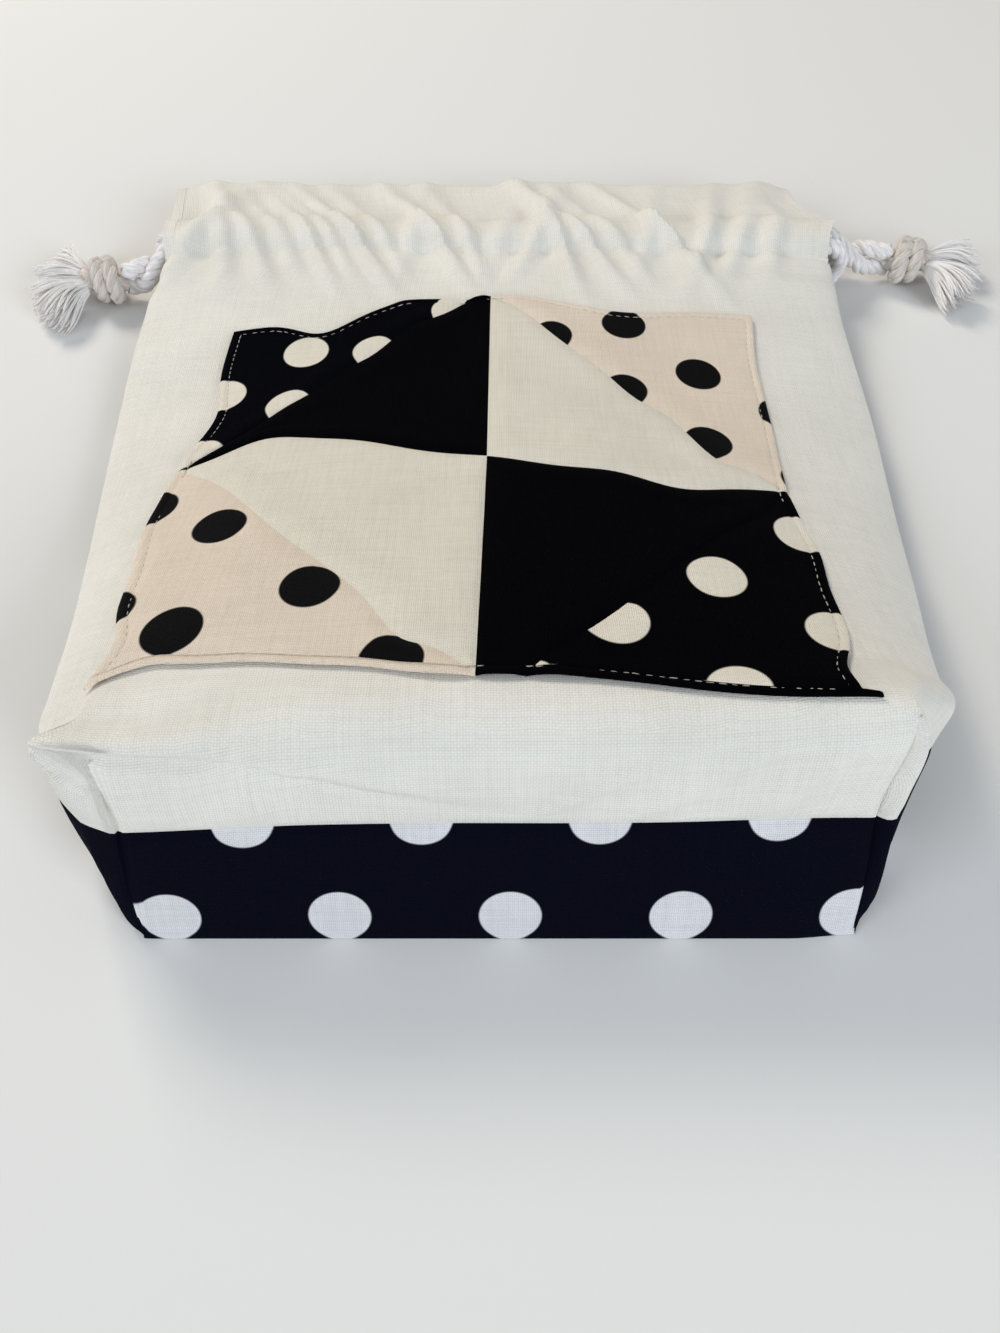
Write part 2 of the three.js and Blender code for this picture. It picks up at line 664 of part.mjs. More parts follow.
/** The sewn allowances inside: both side seams, the bottom seam and both corner seams. */
function addSeamAllowances() {
  const clear = HALF_CLOTH + GAP;
  const root = CLOTH + GAP + ALLOWANCE_CLOTH / 2;
  const rows = PANEL_ROWS.filter((y) => y > FOLD_SETBACK + ALLOWANCE);
  for (const [place, side] of [["left", -1], ["right", 1]]) {
    const edge = (inward) => rows.map((y, k) => {
      const point = frontPoint(side * BLOCK, 1, y);
      point.x -= side * inward;
      if (k === rows.length - 1) point.y -= GAP;
      return point;
    });
    const tip = root + ALLOWANCE;
    const edges = side < 0 ? [edge(root), edge(tip)] : [edge(tip), edge(root)];
    addPiece(`${place}_side_seam`, strip(...edges, ALLOWANCE_CLOTH), COLOURS.ivoryLight);
    addPiece(`${place}_corner_seam`, cornerAllowance(side, clear), COLOURS.ivoryLight);
  }
  const seamX = BASE_HALF_WIDTH - ALLOWANCE;
  const seam = (inward) => steps(-seamX, seamX, BOTTOM_SEAM_CELLS).map(
    (x) => new THREE.Vector3(x, SEAM_SETBACK + inward, SEAM_HEIGHT),
  );
  const bottom = strip(seam(clear), seam(clear + ALLOWANCE), ALLOWANCE_CLOTH);
  addPiece("bottom_seam", bottom, COLOURS.ivoryLight);
}

/** The allowance that stands inward from a corner seam of the bottom face. */
function cornerAllowance(side, clear) {
  const lowerY = mix(0, SEAM_SETBACK, CORNER_INSET / SEAM_HEIGHT);
  const upperY = mix(FOLD_SETBACK, SEAM_SETBACK, CORNER_INSET / (FOLD_HEIGHT - SEAM_HEIGHT));
  const path = [
    [lowerY, CORNER_INSET],
    [SEAM_SETBACK, SEAM_HEIGHT],
    [upperY, FOLD_HEIGHT - CORNER_INSET],
  ];
  const edge = (inward) => path.map(([y, z]) => {
    const diagonal = inward * Math.SQRT1_2;
    return new THREE.Vector3(side * (BASE_HALF_WIDTH - diagonal), y + diagonal, z);
  });
  const root = 2 * clear + ALLOWANCE_CLOTH / 2;
  return strip(edge(root), edge(root + CORNER_ALLOWANCE), ALLOWANCE_CLOTH);
}

/** The place of a knot, lying on the table beside the slit that its cord comes out of. */
function knotPlace(side, reach, cordY, stray) {
  return new THREE.Vector3(side * (BEND_X + reach), cordY - stray, KNOT_HALF_HEIGHT + GAP);
}

const leftKnot = knotPlace(-1, LEFT_REACH, FIRST_CORD_Y, LEFT_STRAY);
const rightKnot = knotPlace(1, RIGHT_REACH, SECOND_CORD_Y, RIGHT_STRAY);

addPanels();
addPatchwork();
addChannels();
addSlitHem("left_slit_hem", -1);
addSlitHem("right_slit_hem", 1);
addSeamAllowances();
addDrawcord("left", -1, FIRST_CORD_Y, leftKnot, [["upper", 45], ["lower", -55]]);
addDrawcord("right", 1, SECOND_CORD_Y, rightKnot, [["upper", 8], ["lower", -65]]);

export default pouch;
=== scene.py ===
"""Cotton drawstring pouch with a boxed bottom, lying on its back with the mouth open."""

import math
from contextlib import contextmanager

import bpy
import numpy as np
from mathutils import Matrix, Vector


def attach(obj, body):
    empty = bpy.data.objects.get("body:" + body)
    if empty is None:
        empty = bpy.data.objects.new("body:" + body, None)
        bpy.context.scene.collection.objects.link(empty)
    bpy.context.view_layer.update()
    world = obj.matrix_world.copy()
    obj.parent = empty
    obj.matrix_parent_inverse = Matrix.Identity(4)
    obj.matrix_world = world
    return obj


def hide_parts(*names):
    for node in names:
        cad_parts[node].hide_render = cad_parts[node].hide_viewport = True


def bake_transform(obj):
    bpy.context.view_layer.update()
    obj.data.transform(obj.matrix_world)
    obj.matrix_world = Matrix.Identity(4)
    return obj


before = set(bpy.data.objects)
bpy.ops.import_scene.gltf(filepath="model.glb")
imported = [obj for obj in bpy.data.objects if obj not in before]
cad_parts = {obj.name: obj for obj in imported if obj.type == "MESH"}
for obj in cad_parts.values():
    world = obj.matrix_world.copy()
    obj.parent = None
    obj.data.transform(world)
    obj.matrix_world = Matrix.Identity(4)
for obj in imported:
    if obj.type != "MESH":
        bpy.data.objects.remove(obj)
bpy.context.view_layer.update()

MM = 0.001
HANDS = {-1: "left", 1: "right"}

# Cloth and clearances, in millimetres as all sizes here
CLOTH = 0.8
GAP = 0.3
HALF_CLOTH = CLOTH / 2
LAYER = CLOTH + GAP
SLIT_CLOTH = 1.1
ALLOWANCE_CLOTH = 1.4

# Patchwork square of four blocks, laid over the front
BLOCK = 79
PATCH_CELLS = 66
PATCH_LIFT = 1.35
PATCH_CLOTH = 0.7
HEM_BAND = 2.2

# Stitches
STITCH = 1.9
STITCH_PITCH = 2.45
STITCH_INSET = 2
STITCH_SEED = 3
THREAD = 0.27

# Boxed bottom
BASE_HALF_WIDTH = 77
SEAM_HEIGHT = 27
SEAM_SETBACK = 14
SEAM_TO_LOWER_EDGE = 30.3
FOLD_HEIGHT = 52
FOLD_SETBACK = 20.6
BULGE_LENGTH = 20
FLAT_SHARE = 0.78
CORNER_FLAT_SHARE = 0.89
FOLD_REACH = 10
FOLD_ROUNDING = np.array([0, 1.8, -2.8])

# Drawcords, channels and header
CORD = 5.5
BACK_CORD_Z = 3.85
FRONT_CORD_Z = 16.4
FRONT_TOP_Z = FRONT_CORD_Z + LAYER / 2
BEND_RADIUS = (FRONT_CORD_Z - BACK_CORD_Z) / 2
BEND_Z = BACK_CORD_Z + BEND_RADIUS
WALL = 3.45
PANEL_LENGTH = 219.7
CHANNEL_START = 220
STITCH_MARGIN = 2.5
CHANNEL_SLOPE = 2.1
CORD_Y = {-1: 227.2, 1: 233.8}
CHANNEL_END = 238.65
MOUTH_EDGE = 268.05
HEM_START = 104.3
HEM_END = 107
BEND_X = 107.6
HEADER_DROP = 2.4
MIDDLE_Y = (MOUTH_EDGE - HALF_CLOTH) / 2

# Knots and the rope they are tied in
KNOT_LENGTH = 13
KNOTS = {-1: (-131.5, 221.5, 7.7), 1: (138.5, 232.5, 7.7)}

# The pouch's section along its length, as (share of the length, value)
CREST = [(0, FOLD_HEIGHT), (0.082, 48.5), (0.474, 30), (0.87, 18.4), (1, FRONT_TOP_Z)]
HALF_WIDTH = [(0, 86), (0.047, 91), (0.188, 97), (0.585, 108), (1, 108)]
SIDE_SEAM = [(0, SEAM_HEIGHT), (0.072, 24), (0.248, 15), (0.585, 9), (1, 10)]
SQUARENESS = [(0, 6), (0.082, 3.9), (0.489, 1.75), (0.87, 2.4), (1, 7)]

# Cells of the cloth meshes
MARGIN_CELLS = 34
BLOCK_CELLS = 64
BACK_CELLS = 44
FOLD_ROWS = 14
FOLD_ZONE = 10
PANEL_ROWS = 142
EDGE_COLUMNS = np.array([0, 0.4, 0.9, 1.6])
CHANNEL_COLUMNS = 161
CHANNEL_STEP = 1.1


def mix(a, b, t):
    return a + (b - a) * t


def smooth(t):
    t = np.clip(t, 0, 1)
    return t * t * (3 - 2 * t)


def bump(value, centre, width):
    """A soft bump that is 1 at the centre and fades out over the width."""
    return np.exp(-(((value - centre) / width) ** 2))


def length_share(y):
    return (y - FOLD_SETBACK) / (PANEL_LENGTH - FOLD_SETBACK)


def along(pairs, y):
    """A smooth value at y through a few (share of the length, value) pairs."""
    share = length_share(y)
    places, values = (np.array(column, float) for column in zip(*pairs))
    last = len(pairs) - 1
    before = np.maximum(np.arange(last + 1) - 1, 0)
    after = np.minimum(np.arange(last + 1) + 1, last)
    tangents = (values[after] - values[before]) / (places[after] - places[before])
    i = np.clip(np.searchsorted(places, share, side="right") - 1, 0, last - 1)
    width = places[i + 1] - places[i]
    t = np.clip((share - places[i]) / width, 0, 1)
    from_start = (1 + 2 * t) * values[i] + t * width * tangents[i]
    from_end = (3 - 2 * t) * values[i + 1] + (t - 1) * width * tangents[i + 1]
    return (1 - t) ** 2 * from_start + t**2 * from_end


def roundness(y):
    """How far the section has rounded off: 0 at the bottom face, 1 from the bulge's end on."""
    return np.sqrt(np.clip((y - FOLD_SETBACK) / BULGE_LENGTH, 0, 1))


def points(x, y, z):
    return np.stack(np.broadcast_arrays(x, y, z), -1).astype(float)


def front_point(x, side, y):
    """The front cloth: x across the patchwork, side from 0 at its edge to 1 at the side seam."""
    half_width = along(HALF_WIDTH, y)
    across = mix(abs(x), half_width, np.sin(side * math.pi / 2))
    power = along(SQUARENESS, y)
    rise = (1 - np.clip(across / half_width, 0, 1) ** power) ** (1 / power)
    soft_z = mix(along(SIDE_SEAM, y), along(CREST, y), rise)
    box_x = mix(abs(x) * BASE_HALF_WIDTH / BLOCK, BASE_HALF_WIDTH, side)
    box_z = mix(FOLD_HEIGHT, SEAM_HEIGHT, side)
    lean = side * (FOLD_SETBACK - SEAM_SETBACK) * (1 - length_share(y))
    rounded = roundness(y)
    out = np.sign(x) * mix(box_x, across, rounded)
    return points(out, y - lean, mix(box_z, soft_z, rounded))


def back_point(share, side, y):
    """The back cloth: share from -1 to 1 across the part that lies flat, side as on the front."""
    flat = mix(CORNER_FLAT_SHARE, FLAT_SHARE, smooth((y - FOLD_SETBACK) / 60))
    out = mix(abs(share) * flat, 1, np.sin(side * math.pi / 2))
    curl = np.clip((out - flat) / (1 - flat), 0, 1)
    soft_z = mix(along(SIDE_SEAM, y), HALF_CLOTH, np.sqrt(1 - curl**2))
    box_x = mix(abs(share) * BASE_HALF_WIDTH, BASE_HALF_WIDTH, side)
    box_z = mix(HALF_CLOTH, SEAM_HEIGHT, side)
    rounded = roundness(y)
    across = np.sign(share) * mix(box_x, out * along(HALF_WIDTH, y), rounded)
    length = mix(side * SEAM_SETBACK, PANEL_LENGTH, length_share(y))
    return points(across, length, mix(box_z, soft_z, rounded))


# Gathers that the drawn cords leave in the channel and the header:
# place across, slant, width, height and how far down the front they run
GATHERS = [
    (-100, 0.5, 3.4, 3.2, 13),
    (-89, -0.1, 2.8, 3.2, 16),
    (-80, -0.35, 2.6, 3.6, 17),
    (-70, -0.4, 2.8, 2.4, 15),
    (-61, -0.4, 2.4, 3.4, 19),
    (-54, -0.45, 2.2, 2.8, 17),
    (-46, -0.5, 2.5, 4.2, 21),
    (-37, -0.4, 2.4, 2.6, 15),
    (-29, 0.2, 2.8, 1.8, 12),
    (-19, -0.4, 2.5, 4.0, 22),
    (-10, -0.25, 2.5, 3.0, 18),
    (0, 0.3, 3.2, 1.6, 12),
    (11, 0.4, 2.9, 2.6, 17),
    (20, -0.2, 2.4, 4.0, 22),
    (29, -0.45, 2.5, 3.6, 19),
    (39, -0.45, 2.7, 2.8, 15),
    (48, 0.3, 2.6, 2.0, 13),
    (57, -0.5, 2.5, 3.8, 20),
    (67, 0.35, 2.8, 3.4, 19),
    (78, 0.4, 3.0, 2.8, 16),
    (89, 0.2, 3.0, 2.4, 15),
]
GATHER_Y = 224
HEADER_REACH = 38


def gathers(x, y):
    """Height of the gathers at a place on the front."""
    height = np.zeros(np.broadcast(x, y).shape)
    for place, slant, width, rise, reach in GATHERS:
        fade = np.where(y < GATHER_Y, bump(y, GATHER_Y, reach), bump(y, GATHER_Y, HEADER_REACH))
        spread = width * (1 + abs(y - GATHER_Y) / 55)
        height += rise * fade * bump(x - place - slant * (y - GATHER_Y), 0, spread)
    return height


def front_relief(x, y):
    """Soft unevenness of the front cloth, on top of its form."""
    soft = 0.35 * np.sin(x / 17 + y / 29) * np.sin(y / 23 - x / 41)
    rows = sum(bump(y, start + STITCH_MARGIN / 2, 1.4) for start in (CHANNEL_START, CHANNEL_END))
    return gathers(x, y) + soft - 0.5 * rows


# Diagonal creases of the bottom face: place across, slant, width and height
FACE_CREASES = [
    (-62, 0.5, 4, 0.6),
    (-45, 0.9, 5, 0.8),
    (22, 1.7, 3.2, 0.7),
    (40, 1.3, 5, 0.9),
    (60, 0.7, 4, 0.8),
]


def face_relief(x, z):
    """Height of the creases in the upper half of the bottom face."""
    height = z - SEAM_HEIGHT
    total = np.zeros(np.broadcast(x, z).shape)
    for place, slant, width, rise in FACE_CREASES:
        total += rise * bump(x - place - slant * (height - 12), 0, width)
    return total * smooth(height / 6) * smooth((26 - height) / 8)


def on_seam(z):
    """How far from the lower edge the bottom face and its corner seams lie at a height."""
    return np.interp(z, [0, SEAM_HEIGHT, FOLD_HEIGHT], [0, SEAM_SETBACK, FOLD_SETBACK])


def round_fold(p):
    """Rounds the fold between the front and the bottom face."""
    inside = 0.8 * (p[..., 1] - FOLD_SETBACK) - 1.245 * (p[..., 2] - FOLD_HEIGHT)
    share = np.clip(1 - inside / FOLD_REACH, 0, 1) ** 2
    return p + share[..., None] * FOLD_ROUNDING


# The long crease that runs down the bottom face from its upper left corner: places across and heights
CREASE_X = (-76, -57, -49, -38, -27, -14, 4)
CREASE_Z = (48.5, 46.8, 44.9, 41.5, 37.3, 34.3, 31)


def roll_corner(p):
    """The roll that the cloth forms from the left corner along the fold, with a crease under it."""
    x, y, z = p[..., 0], p[..., 1], p[..., 2]
    crease = np.interp(x, CREASE_X, CREASE_Z)
    strength = smooth((20 - x) / 90) * smooth((36 - y) / 16)
    drawn_in = 1.9 * bump(z, crease - 0.5, 1.5) + 0.5 * bump(z, crease - 4.5, 3)
    roll = 1.6 * bump(z, crease + 3, 2.6) - drawn_in
    return p + points(0, -1, 0.2) * (strength * roll)[..., None]


def side_bulge(y, z, foot):
    """How far the left side bulges out."""
    body = smooth((y + 1) / 5) * smooth((212 - y) / 10)
    tip = 6.2 * bump(y, 24, 4.2) * bump(z, 48.5, 7) + 3 * bump(y, 26, 9) * smooth(z / 30)
    low_side = bump(z, 17, 8) * smooth((30 - y) / 15)
    return 3.1 * body + tip + 1.3 * low_side - 0.3 * foot + 1.6 * bump(y, 190, 25)


def side_swell(y, z, foot):
    """How far the right side bulges out, or is pushed in below its upper corner."""
    high_side = bump(y, 33, 7) * bump(z, 41, 9)
    return 1.8 * bump(y, 80, 40) + 0.3 * foot + 4.2 * high_side - 5 * bump(y, 22, 9) * bump(z, 33, 12)


def shift_across(x, y, z, beyond_seam):
    """How far the sides have moved across, the bottom's right end widened and the mouth's ends flared."""
    left, right = x < 0, x > 0
    header = smooth((y - 222) / 42)
    outside = np.clip((abs(x) - 72) / 35, 0, 1.2) ** 2
    flare = -2.8 * bump(y, 229, 13) * outside * left + 6 * bump(y, 238, 8) * outside * right
    near_seam = smooth(beyond_seam / mix(1.8, 3.5, smooth(z / 25))) * smooth((abs(x) - 74) / 3)
    margin = mix(near_seam, smooth((abs(x) - 70) / 25), smooth((y - 25) / 20))
    foot = bump(z, 0, 14) * smooth((30 - y) / 15)
    side = margin * (side_swell(y, z, foot) * right - side_bulge(y, z, foot) * left)
    wide = 2.4 * smooth((x - 45) / 32) * smooth((z - 28) / 20) * bump(y, 18, 9) * (1 - 0.9 * margin)
    return flare + side + wide - 6 * header


def settle(p):
    """How the pouch lies askew: its corners droop, rise, bulge out or are pushed in."""
    beyond_seam = p[..., 1] - on_seam(p[..., 2])
    p = roll_corner(round_fold(p))
    x, y, z = p[..., 0], p[..., 1], p[..., 2]
    level = z / FOLD_HEIGHT
    low = bump(x, -84, 34) * bump(y, 18, 26) * level
    high = bump(x, 84, 34) * bump(y, 18, 26) * level
    rounded = 3 * smooth((abs(x) - 100) / 7) * smooth((y - 255) / 13)
    lifted = 0.9 * smooth((x - 62) / 15) * smooth((14 - z) / 14) * smooth((20 - y) / 10)
    dropped = 1.8 * bump(x, 82, 18) * bump(z, 27, 11) * smooth((26 - y) / 8)
    across = shift_across(x, y, z, beyond_seam)
    return p + points(across, 2.5 * high - 2.5 * low - rounded + lifted, 3.5 * high - 4 * low - dropped)


def to_row(p):
    """Millimetres from the lower edge, as metres in the object's frame."""
    return (np.asarray(p, float) - (0, MIDDLE_Y, 0)) * MM


def normals_of(p):
    """Outward normals of a grid of points."""
    across = np.gradient(p, axis=1)
    up = np.gradient(p, axis=0)
    normal = np.cross(across, up)
    return normal / np.maximum(np.linalg.norm(normal, axis=-1, keepdims=True), 1e-9)


def deselect():
    bpy.ops.object.select_all(action="DESELECT")


def choose(*objects):
    deselect()
    for item in objects:
        item.select_set(True)
    bpy.context.view_layer.objects.active = objects[0]


@contextmanager
def editing(item, selection="SELECT"):
    """Edit mode on one piece, with all of its mesh selected, or nothing of it."""
    choose(item)
    bpy.ops.object.mode_set(mode="EDIT")
    bpy.ops.mesh.select_all(action=selection)
    yield
    bpy.ops.object.mode_set(mode="OBJECT")


def apply_modifier(item, kind, **settings):
    modifier = item.modifiers.new(kind.title(), kind)
    for name, value in settings.items():
        setattr(modifier, name, value)
    choose(item)
    bpy.ops.object.modifier_apply(modifier=modifier.name)


def set_threads(item, lengths):
    """Keeps how far each corner lies along the cloth's two threads, as the piece's UV map."""
    corner = np.empty(len(item.data.loops), np.int32)
    item.data.loops.foreach_get("vertex_index", corner)
    item.data.uv_layers[0].data.foreach_set("uv", (lengths.reshape(-1, 2)[corner] * MM).ravel())
    item.data.uv_layers[0].name = "cloth"


def grid(name, places, u, v):
    """A sheet of cells whose corners are moved to the given places, u and v along its threads."""
    rows, columns = places.shape[:2]
    deselect()
    bpy.ops.mesh.primitive_grid_add(x_subdivisions=columns - 1, y_subdivisions=rows - 1, size=1)
    item = bpy.context.object
    item.name = name
    set_coordinates(item, places)
    set_threads(item, np.stack(np.broadcast_arrays(u, v), -1))
    return item


def copy_of(item):
    """A copy with a mesh of its own."""
    made = item.copy()
    made.data = item.data.copy()
    bpy.context.collection.objects.link(made)
    return made


def join(*items):
    choose(*items)
    bpy.ops.object.join()
    return items[0]


def weld(item, distance=0.02):
    with editing(item):
        bpy.ops.mesh.remove_doubles(threshold=distance * MM)


def coordinates(item):
    """The corners of a mesh, in millimetres from the lower edge."""
    co = np.empty(3 * len(item.data.vertices))
    item.data.vertices.foreach_get("co", co)
    return co.reshape(-1, 3) / MM + (0, MIDDLE_Y, 0)


def set_coordinates(item, places):
    item.data.vertices.foreach_set("co", to_row(places).ravel())
    item.data.update()


def push(item, heights):
    """Moves each corner of a mesh out along its normal."""
    normal = np.empty(3 * len(item.data.vertices))
    item.data.vertices.foreach_get("normal", normal)
    set_coordinates(item, coordinates(item) + normal.reshape(-1, 3) * np.asarray(heights)[:, None])


def cut(item, place, normal):
    """Cuts a mesh along a plane, and keeps the side that the plane's normal points to."""
    with editing(item):
        bpy.ops.mesh.bisect(plane_co=place, plane_no=normal, clear_inner=True, threshold=1e-7)


def halves(item, name):
    """The same piece as a left and a right half, which meet at the middle."""
    made = {}
    for side, hand in HANDS.items():
        half = copy_of(item)
        half.name = f"{name}_{hand}"
        cut(half, (0, 0, 0), (side, 0, 0))
        made[side] = half
    bpy.data.objects.remove(item)
    return made


def thicken(item, thickness=CLOTH):
    apply_modifier(item, "SOLIDIFY", thickness=thickness * MM, offset=0, use_even_offset=False)
    choose(item)
    bpy.ops.object.shade_smooth_by_angle(angle=math.radians(50))


# The slope, across per along, of the way from the pouch towards a corner of the mouth
GATHER_SLOPE = 74 / 79


def follow_mouth(item, side):
    """Bakes a cloth half's transform into its mesh; its direction towards the mouth's corner is worked out
    but not used.
    """
    direction = Vector((side * GATHER_SLOPE, 1, 0))
    direction.normalize()
    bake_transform(item)


def operation(kind, swapped=False):
    """A method that adds a Math node on a field and what it is combined with."""

    def method(self, *others):
        values = (*others, self) if swapped else (self, *others)
        return self.paint.node("ShaderNodeMath", {"operation": kind}, dict(enumerate(values)))

    return method


class Field:
    """A value over a surface: a shader socket that Python's operators work on."""

    def __init__(self, paint, socket):
        self.paint = paint
        self.socket = socket

    __add__ = operation("ADD")
    __radd__ = operation("ADD", swapped=True)
    __sub__ = operation("SUBTRACT")
    __rsub__ = operation("SUBTRACT", swapped=True)
    __mul__ = operation("MULTIPLY")
    __rmul__ = operation("MULTIPLY", swapped=True)
    __truediv__ = operation("DIVIDE")
    sin = operation("SINE")
    floor = operation("FLOOR")
    fraction = operation("FRACT")
    power = operation("POWER")
    maximum = operation("MAXIMUM")

    def ramp(self, low, high):
        """Rises smoothly from 0 at low to 1 at high."""
        return self.paint.node(
            "ShaderNodeMapRange",
            {"interpolation_type": "SMOOTHSTEP"},
            {"Value": self, "From Min": low, "From Max": high},
        )


def linear(colour):
    """A display colour as the linear one that the shader takes."""
    return tuple(c / 12.92 if c <= 0.04045 else ((c + 0.055) / 1.055) ** 2.4 for c in colour) + (1,)


class Paint:
    """A new material, and the nodes that colour it."""

    def __init__(self, name, **fixed):
        self.material = bpy.data.materials.new(name)
        self.material.use_nodes = True
        self.tree = self.material.node_tree
        self.shader = self.tree.nodes["Principled BSDF"]
        for socket, value in fixed.items():
            self.shader.inputs[socket.replace("_", " ")].default_value = value

    def node(self, kind, settings=None, values=None, output=0):
        made = self.tree.nodes.new(kind)
        for name, value in (settings or {}).items():
            setattr(made, name, value)
        for key, value in (values or {}).items():
            self.feed(made.inputs[key], value)
        return Field(self, made.outputs[output])

    def feed(self, socket, value):
        if isinstance(value, Field):
            self.tree.links.new(value.socket, socket)
        else:
            socket.default_value = value

    def set(self, name, value):
        self.feed(self.shader.inputs[name], value)

    def cloth_grid(self):
        """Distances over the cloth, in millimetres along its two threads."""
        uv = self.node("ShaderNodeUVMap", {"uv_map": "cloth"})
        u, v = (self.node("ShaderNodeSeparateXYZ", {}, {0: uv}, axis) for axis in (0, 1))
        return u * (1 / MM), v * (1 / MM)

    def at(self, x, y, z=0.0):
        return self.node("ShaderNodeCombineXYZ", {}, {0: x, 1: y, 2: z})

    def noise(self, where, scale, detail=2.0):
        return self.node("ShaderNodeTexNoise", {}, {"Vector": where, "Scale": scale, "Detail": detail})

    def blend(self, share, low, high, kind="MIX"):
        settings = {"data_type": "RGBA", "blend_type": kind}
        return self.node("ShaderNodeMix", settings, {0: share, 6: low, 7: high}, 2)

    def tint(self, share, colours):
        """Between a finish's dark colour where share is 0 and its light one where it is 1."""
        light, dark = colours
        return self.blend(share, linear(dark), linear(light))

    def bump(self, height, depth, strength=1.0):
        values = {"Height": height, "Distance": depth * MM, "Strength": strength}
        self.set("Normal", self.node("ShaderNodeBump", {}, values))


def weave(u, v, pitch):
    """Height of a plain weave, and which of the two threads lies on top."""
    across, length = u / pitch, v / pitch
    over = ((across.floor() + length.floor()) / 2).fraction() * 2
    warp = (across.fraction() * math.pi).sin()
    weft = (length.fraction() * math.pi).sin()
    warp_height = warp * (0.55 + 0.45 * weft)
    weft_height = weft * (0.55 + 0.45 * warp)
    return over * warp_height + (1 - over) * weft_height, over


def disc(u, v, x, y, radius, tall=1.0, soft=0.25):
    """1 inside a printed dot and 0 outside it."""
    du, dv = u - x, (v - y) / tall
    distance = (du * du + dv * dv).power(0.5)
    return distance.ramp(radius + soft, radius - soft)


def cloth_material(name, colours, pitch, gloss=0.1, dots=None):
    """Plain-woven cotton. dots gives a printed mask and its colours, or nothing."""
    paint = Paint(name, Roughness=0.9, Specular_IOR_Level=gloss)
    u, v = paint.cloth_grid()
    height, over = weave(u, v, pitch)
    slubs_across = paint.noise(paint.at(u * 0.06, v * 1.1), 1.0)
    slubs = slubs_across + paint.noise(paint.at(u * 1.1, v * 0.06, 3.0), 1.0)
    shade = (height * 0.5 + over * 0.12 + 0.5 + (slubs - 1) * 0.36).ramp(0, 1.15)
    colour = paint.tint(shade, colours)
    if dots:
        mask, ink = dots(u, v)
        colour = paint.blend(mask, colour, paint.tint(shade, ink))
    tone = (paint.noise(paint.at(u, v, 7.0), 0.045, 3.0) - 0.5) * 0.16 + 1
    grey = paint.node("ShaderNodeCombineColor", {}, {0: tone, 1: tone, 2: tone})
    paint.set("Base Color", paint.blend(1.0, colour, grey, "MULTIPLY"))
    paint.bump(height + slubs * 0.7, 0.16, 0.8)
    return paint.material


# Staggered dots of the back cloth
DOT_RADIUS = 6.65
DOT_SPACING = 36.3
DOT_ROWS = 26
FIRST_DOT = (2.2, 6.3)


def staggered_dots(u, v):
    """White dots in staggered rows on the back cloth."""
    masks = []
    for shift in (0, 0.5):
        x = ((u - FIRST_DOT[0]) / DOT_SPACING + 0.5 + shift).fraction() * DOT_SPACING - DOT_SPACING / 2
        y = ((v - FIRST_DOT[1]) / (2 * DOT_ROWS) + 0.5 + shift).fraction() * 2 * DOT_ROWS - DOT_ROWS
        masks.append(disc(x, y, 0, 0, DOT_RADIUS))
    return masks[0] + masks[1], WHITE_PRINT


def dots_at(centres, ink, radius=6.6, tall=1.08):
    """Printed dots at chosen places of a patch."""

    def mask(u, v):
        total = None
        for x, y in centres:
            one = disc(u, v, x, y, radius, tall)
            total = one if total is None else total.maximum(one)
        return total, ink

    return mask


def rope_material(name, colours, sheen):
    """Twisted or frayed cotton with its fibres along the rope."""
    paint = Paint(name, Roughness=0.95, Sheen_Weight=sheen, Sheen_Roughness=0.4, Specular_IOR_Level=0.1)
    u, v = paint.cloth_grid()
    fibres = paint.noise(paint.at(u * 2.2, v * 0.35), 1.0, 4.0)
    paint.set("Base Color", paint.tint(fibres.ramp(0.3, 0.7), colours))
    paint.bump(fibres, 0.35)
    return paint.material


def thread_material(name, colours):
    paint = Paint(name, Roughness=0.6, Sheen_Weight=0.2)
    grain = paint.noise(paint.node("ShaderNodeTexCoord", {}, {}, 3), 4000.0)
    paint.set("Base Color", paint.tint(grain, colours))
    paint.bump(grain, 0.05)
    return paint.material


# Light and dark colour of each cloth and print
IVORY = ((0.96, 0.945, 0.91), (0.81, 0.795, 0.76))
BLACK = ((0.016, 0.016, 0.028), (0.004, 0.004, 0.008))
SOFT_BLACK = ((0.022, 0.025, 0.05), (0.004, 0.004, 0.008))
NAVY = ((0.035, 0.04, 0.1), (0.012, 0.015, 0.04))
CREAM = ((0.945, 0.92, 0.86), (0.76, 0.73, 0.67))
WARM = ((0.955, 0.895, 0.825), (0.77, 0.705, 0.63))
WHITE_PRINT = ((0.95, 0.94, 0.95), (0.72, 0.72, 0.72))
CREAM_PRINT = ((0.96, 0.93, 0.87), (0.80, 0.76, 0.69))

# Distance between two threads of the ivory, the black and the cream cottons
IVORY_PITCH = 0.58
BLACK_PITCH = 0.43
CREAM_PITCH = 0.45

# How much the black cottons shine
BACK_GLOSS = 0.04
BLACK_GLOSS = 0.02

# Centres of the dots on the outer patches, across and up the cloth
PATCH_DOTS = {
    ("upper", "left"): [
        (-56.8, 168.3), (-36.2, 166.9), (-58.2, 142.4), (-78.6, 151.1), (-79.5, 123), (-14.2, 187.2)
    ],
    ("upper", "right"): [
        (56.9, 158.2), (37, 180.2), (14.6, 173.2), (34.5, 147.6), (54.9, 124.8), (78.7, 142.6), (78.4, 111)
    ],
    ("lower", "left"): [
        (-66.7, 88.4), (-41, 62), (-68.2, 50.4), (-86.1, 101.9), (-85, 60.5), (-21.5, 38.5)
    ],
    ("lower", "right"): [
        (47.5, 66.1), (24.2, 49.9), (45.7, 28.3), (71.2, 85.8), (69.5, 48), (4.5, 31.7)
    ],
}

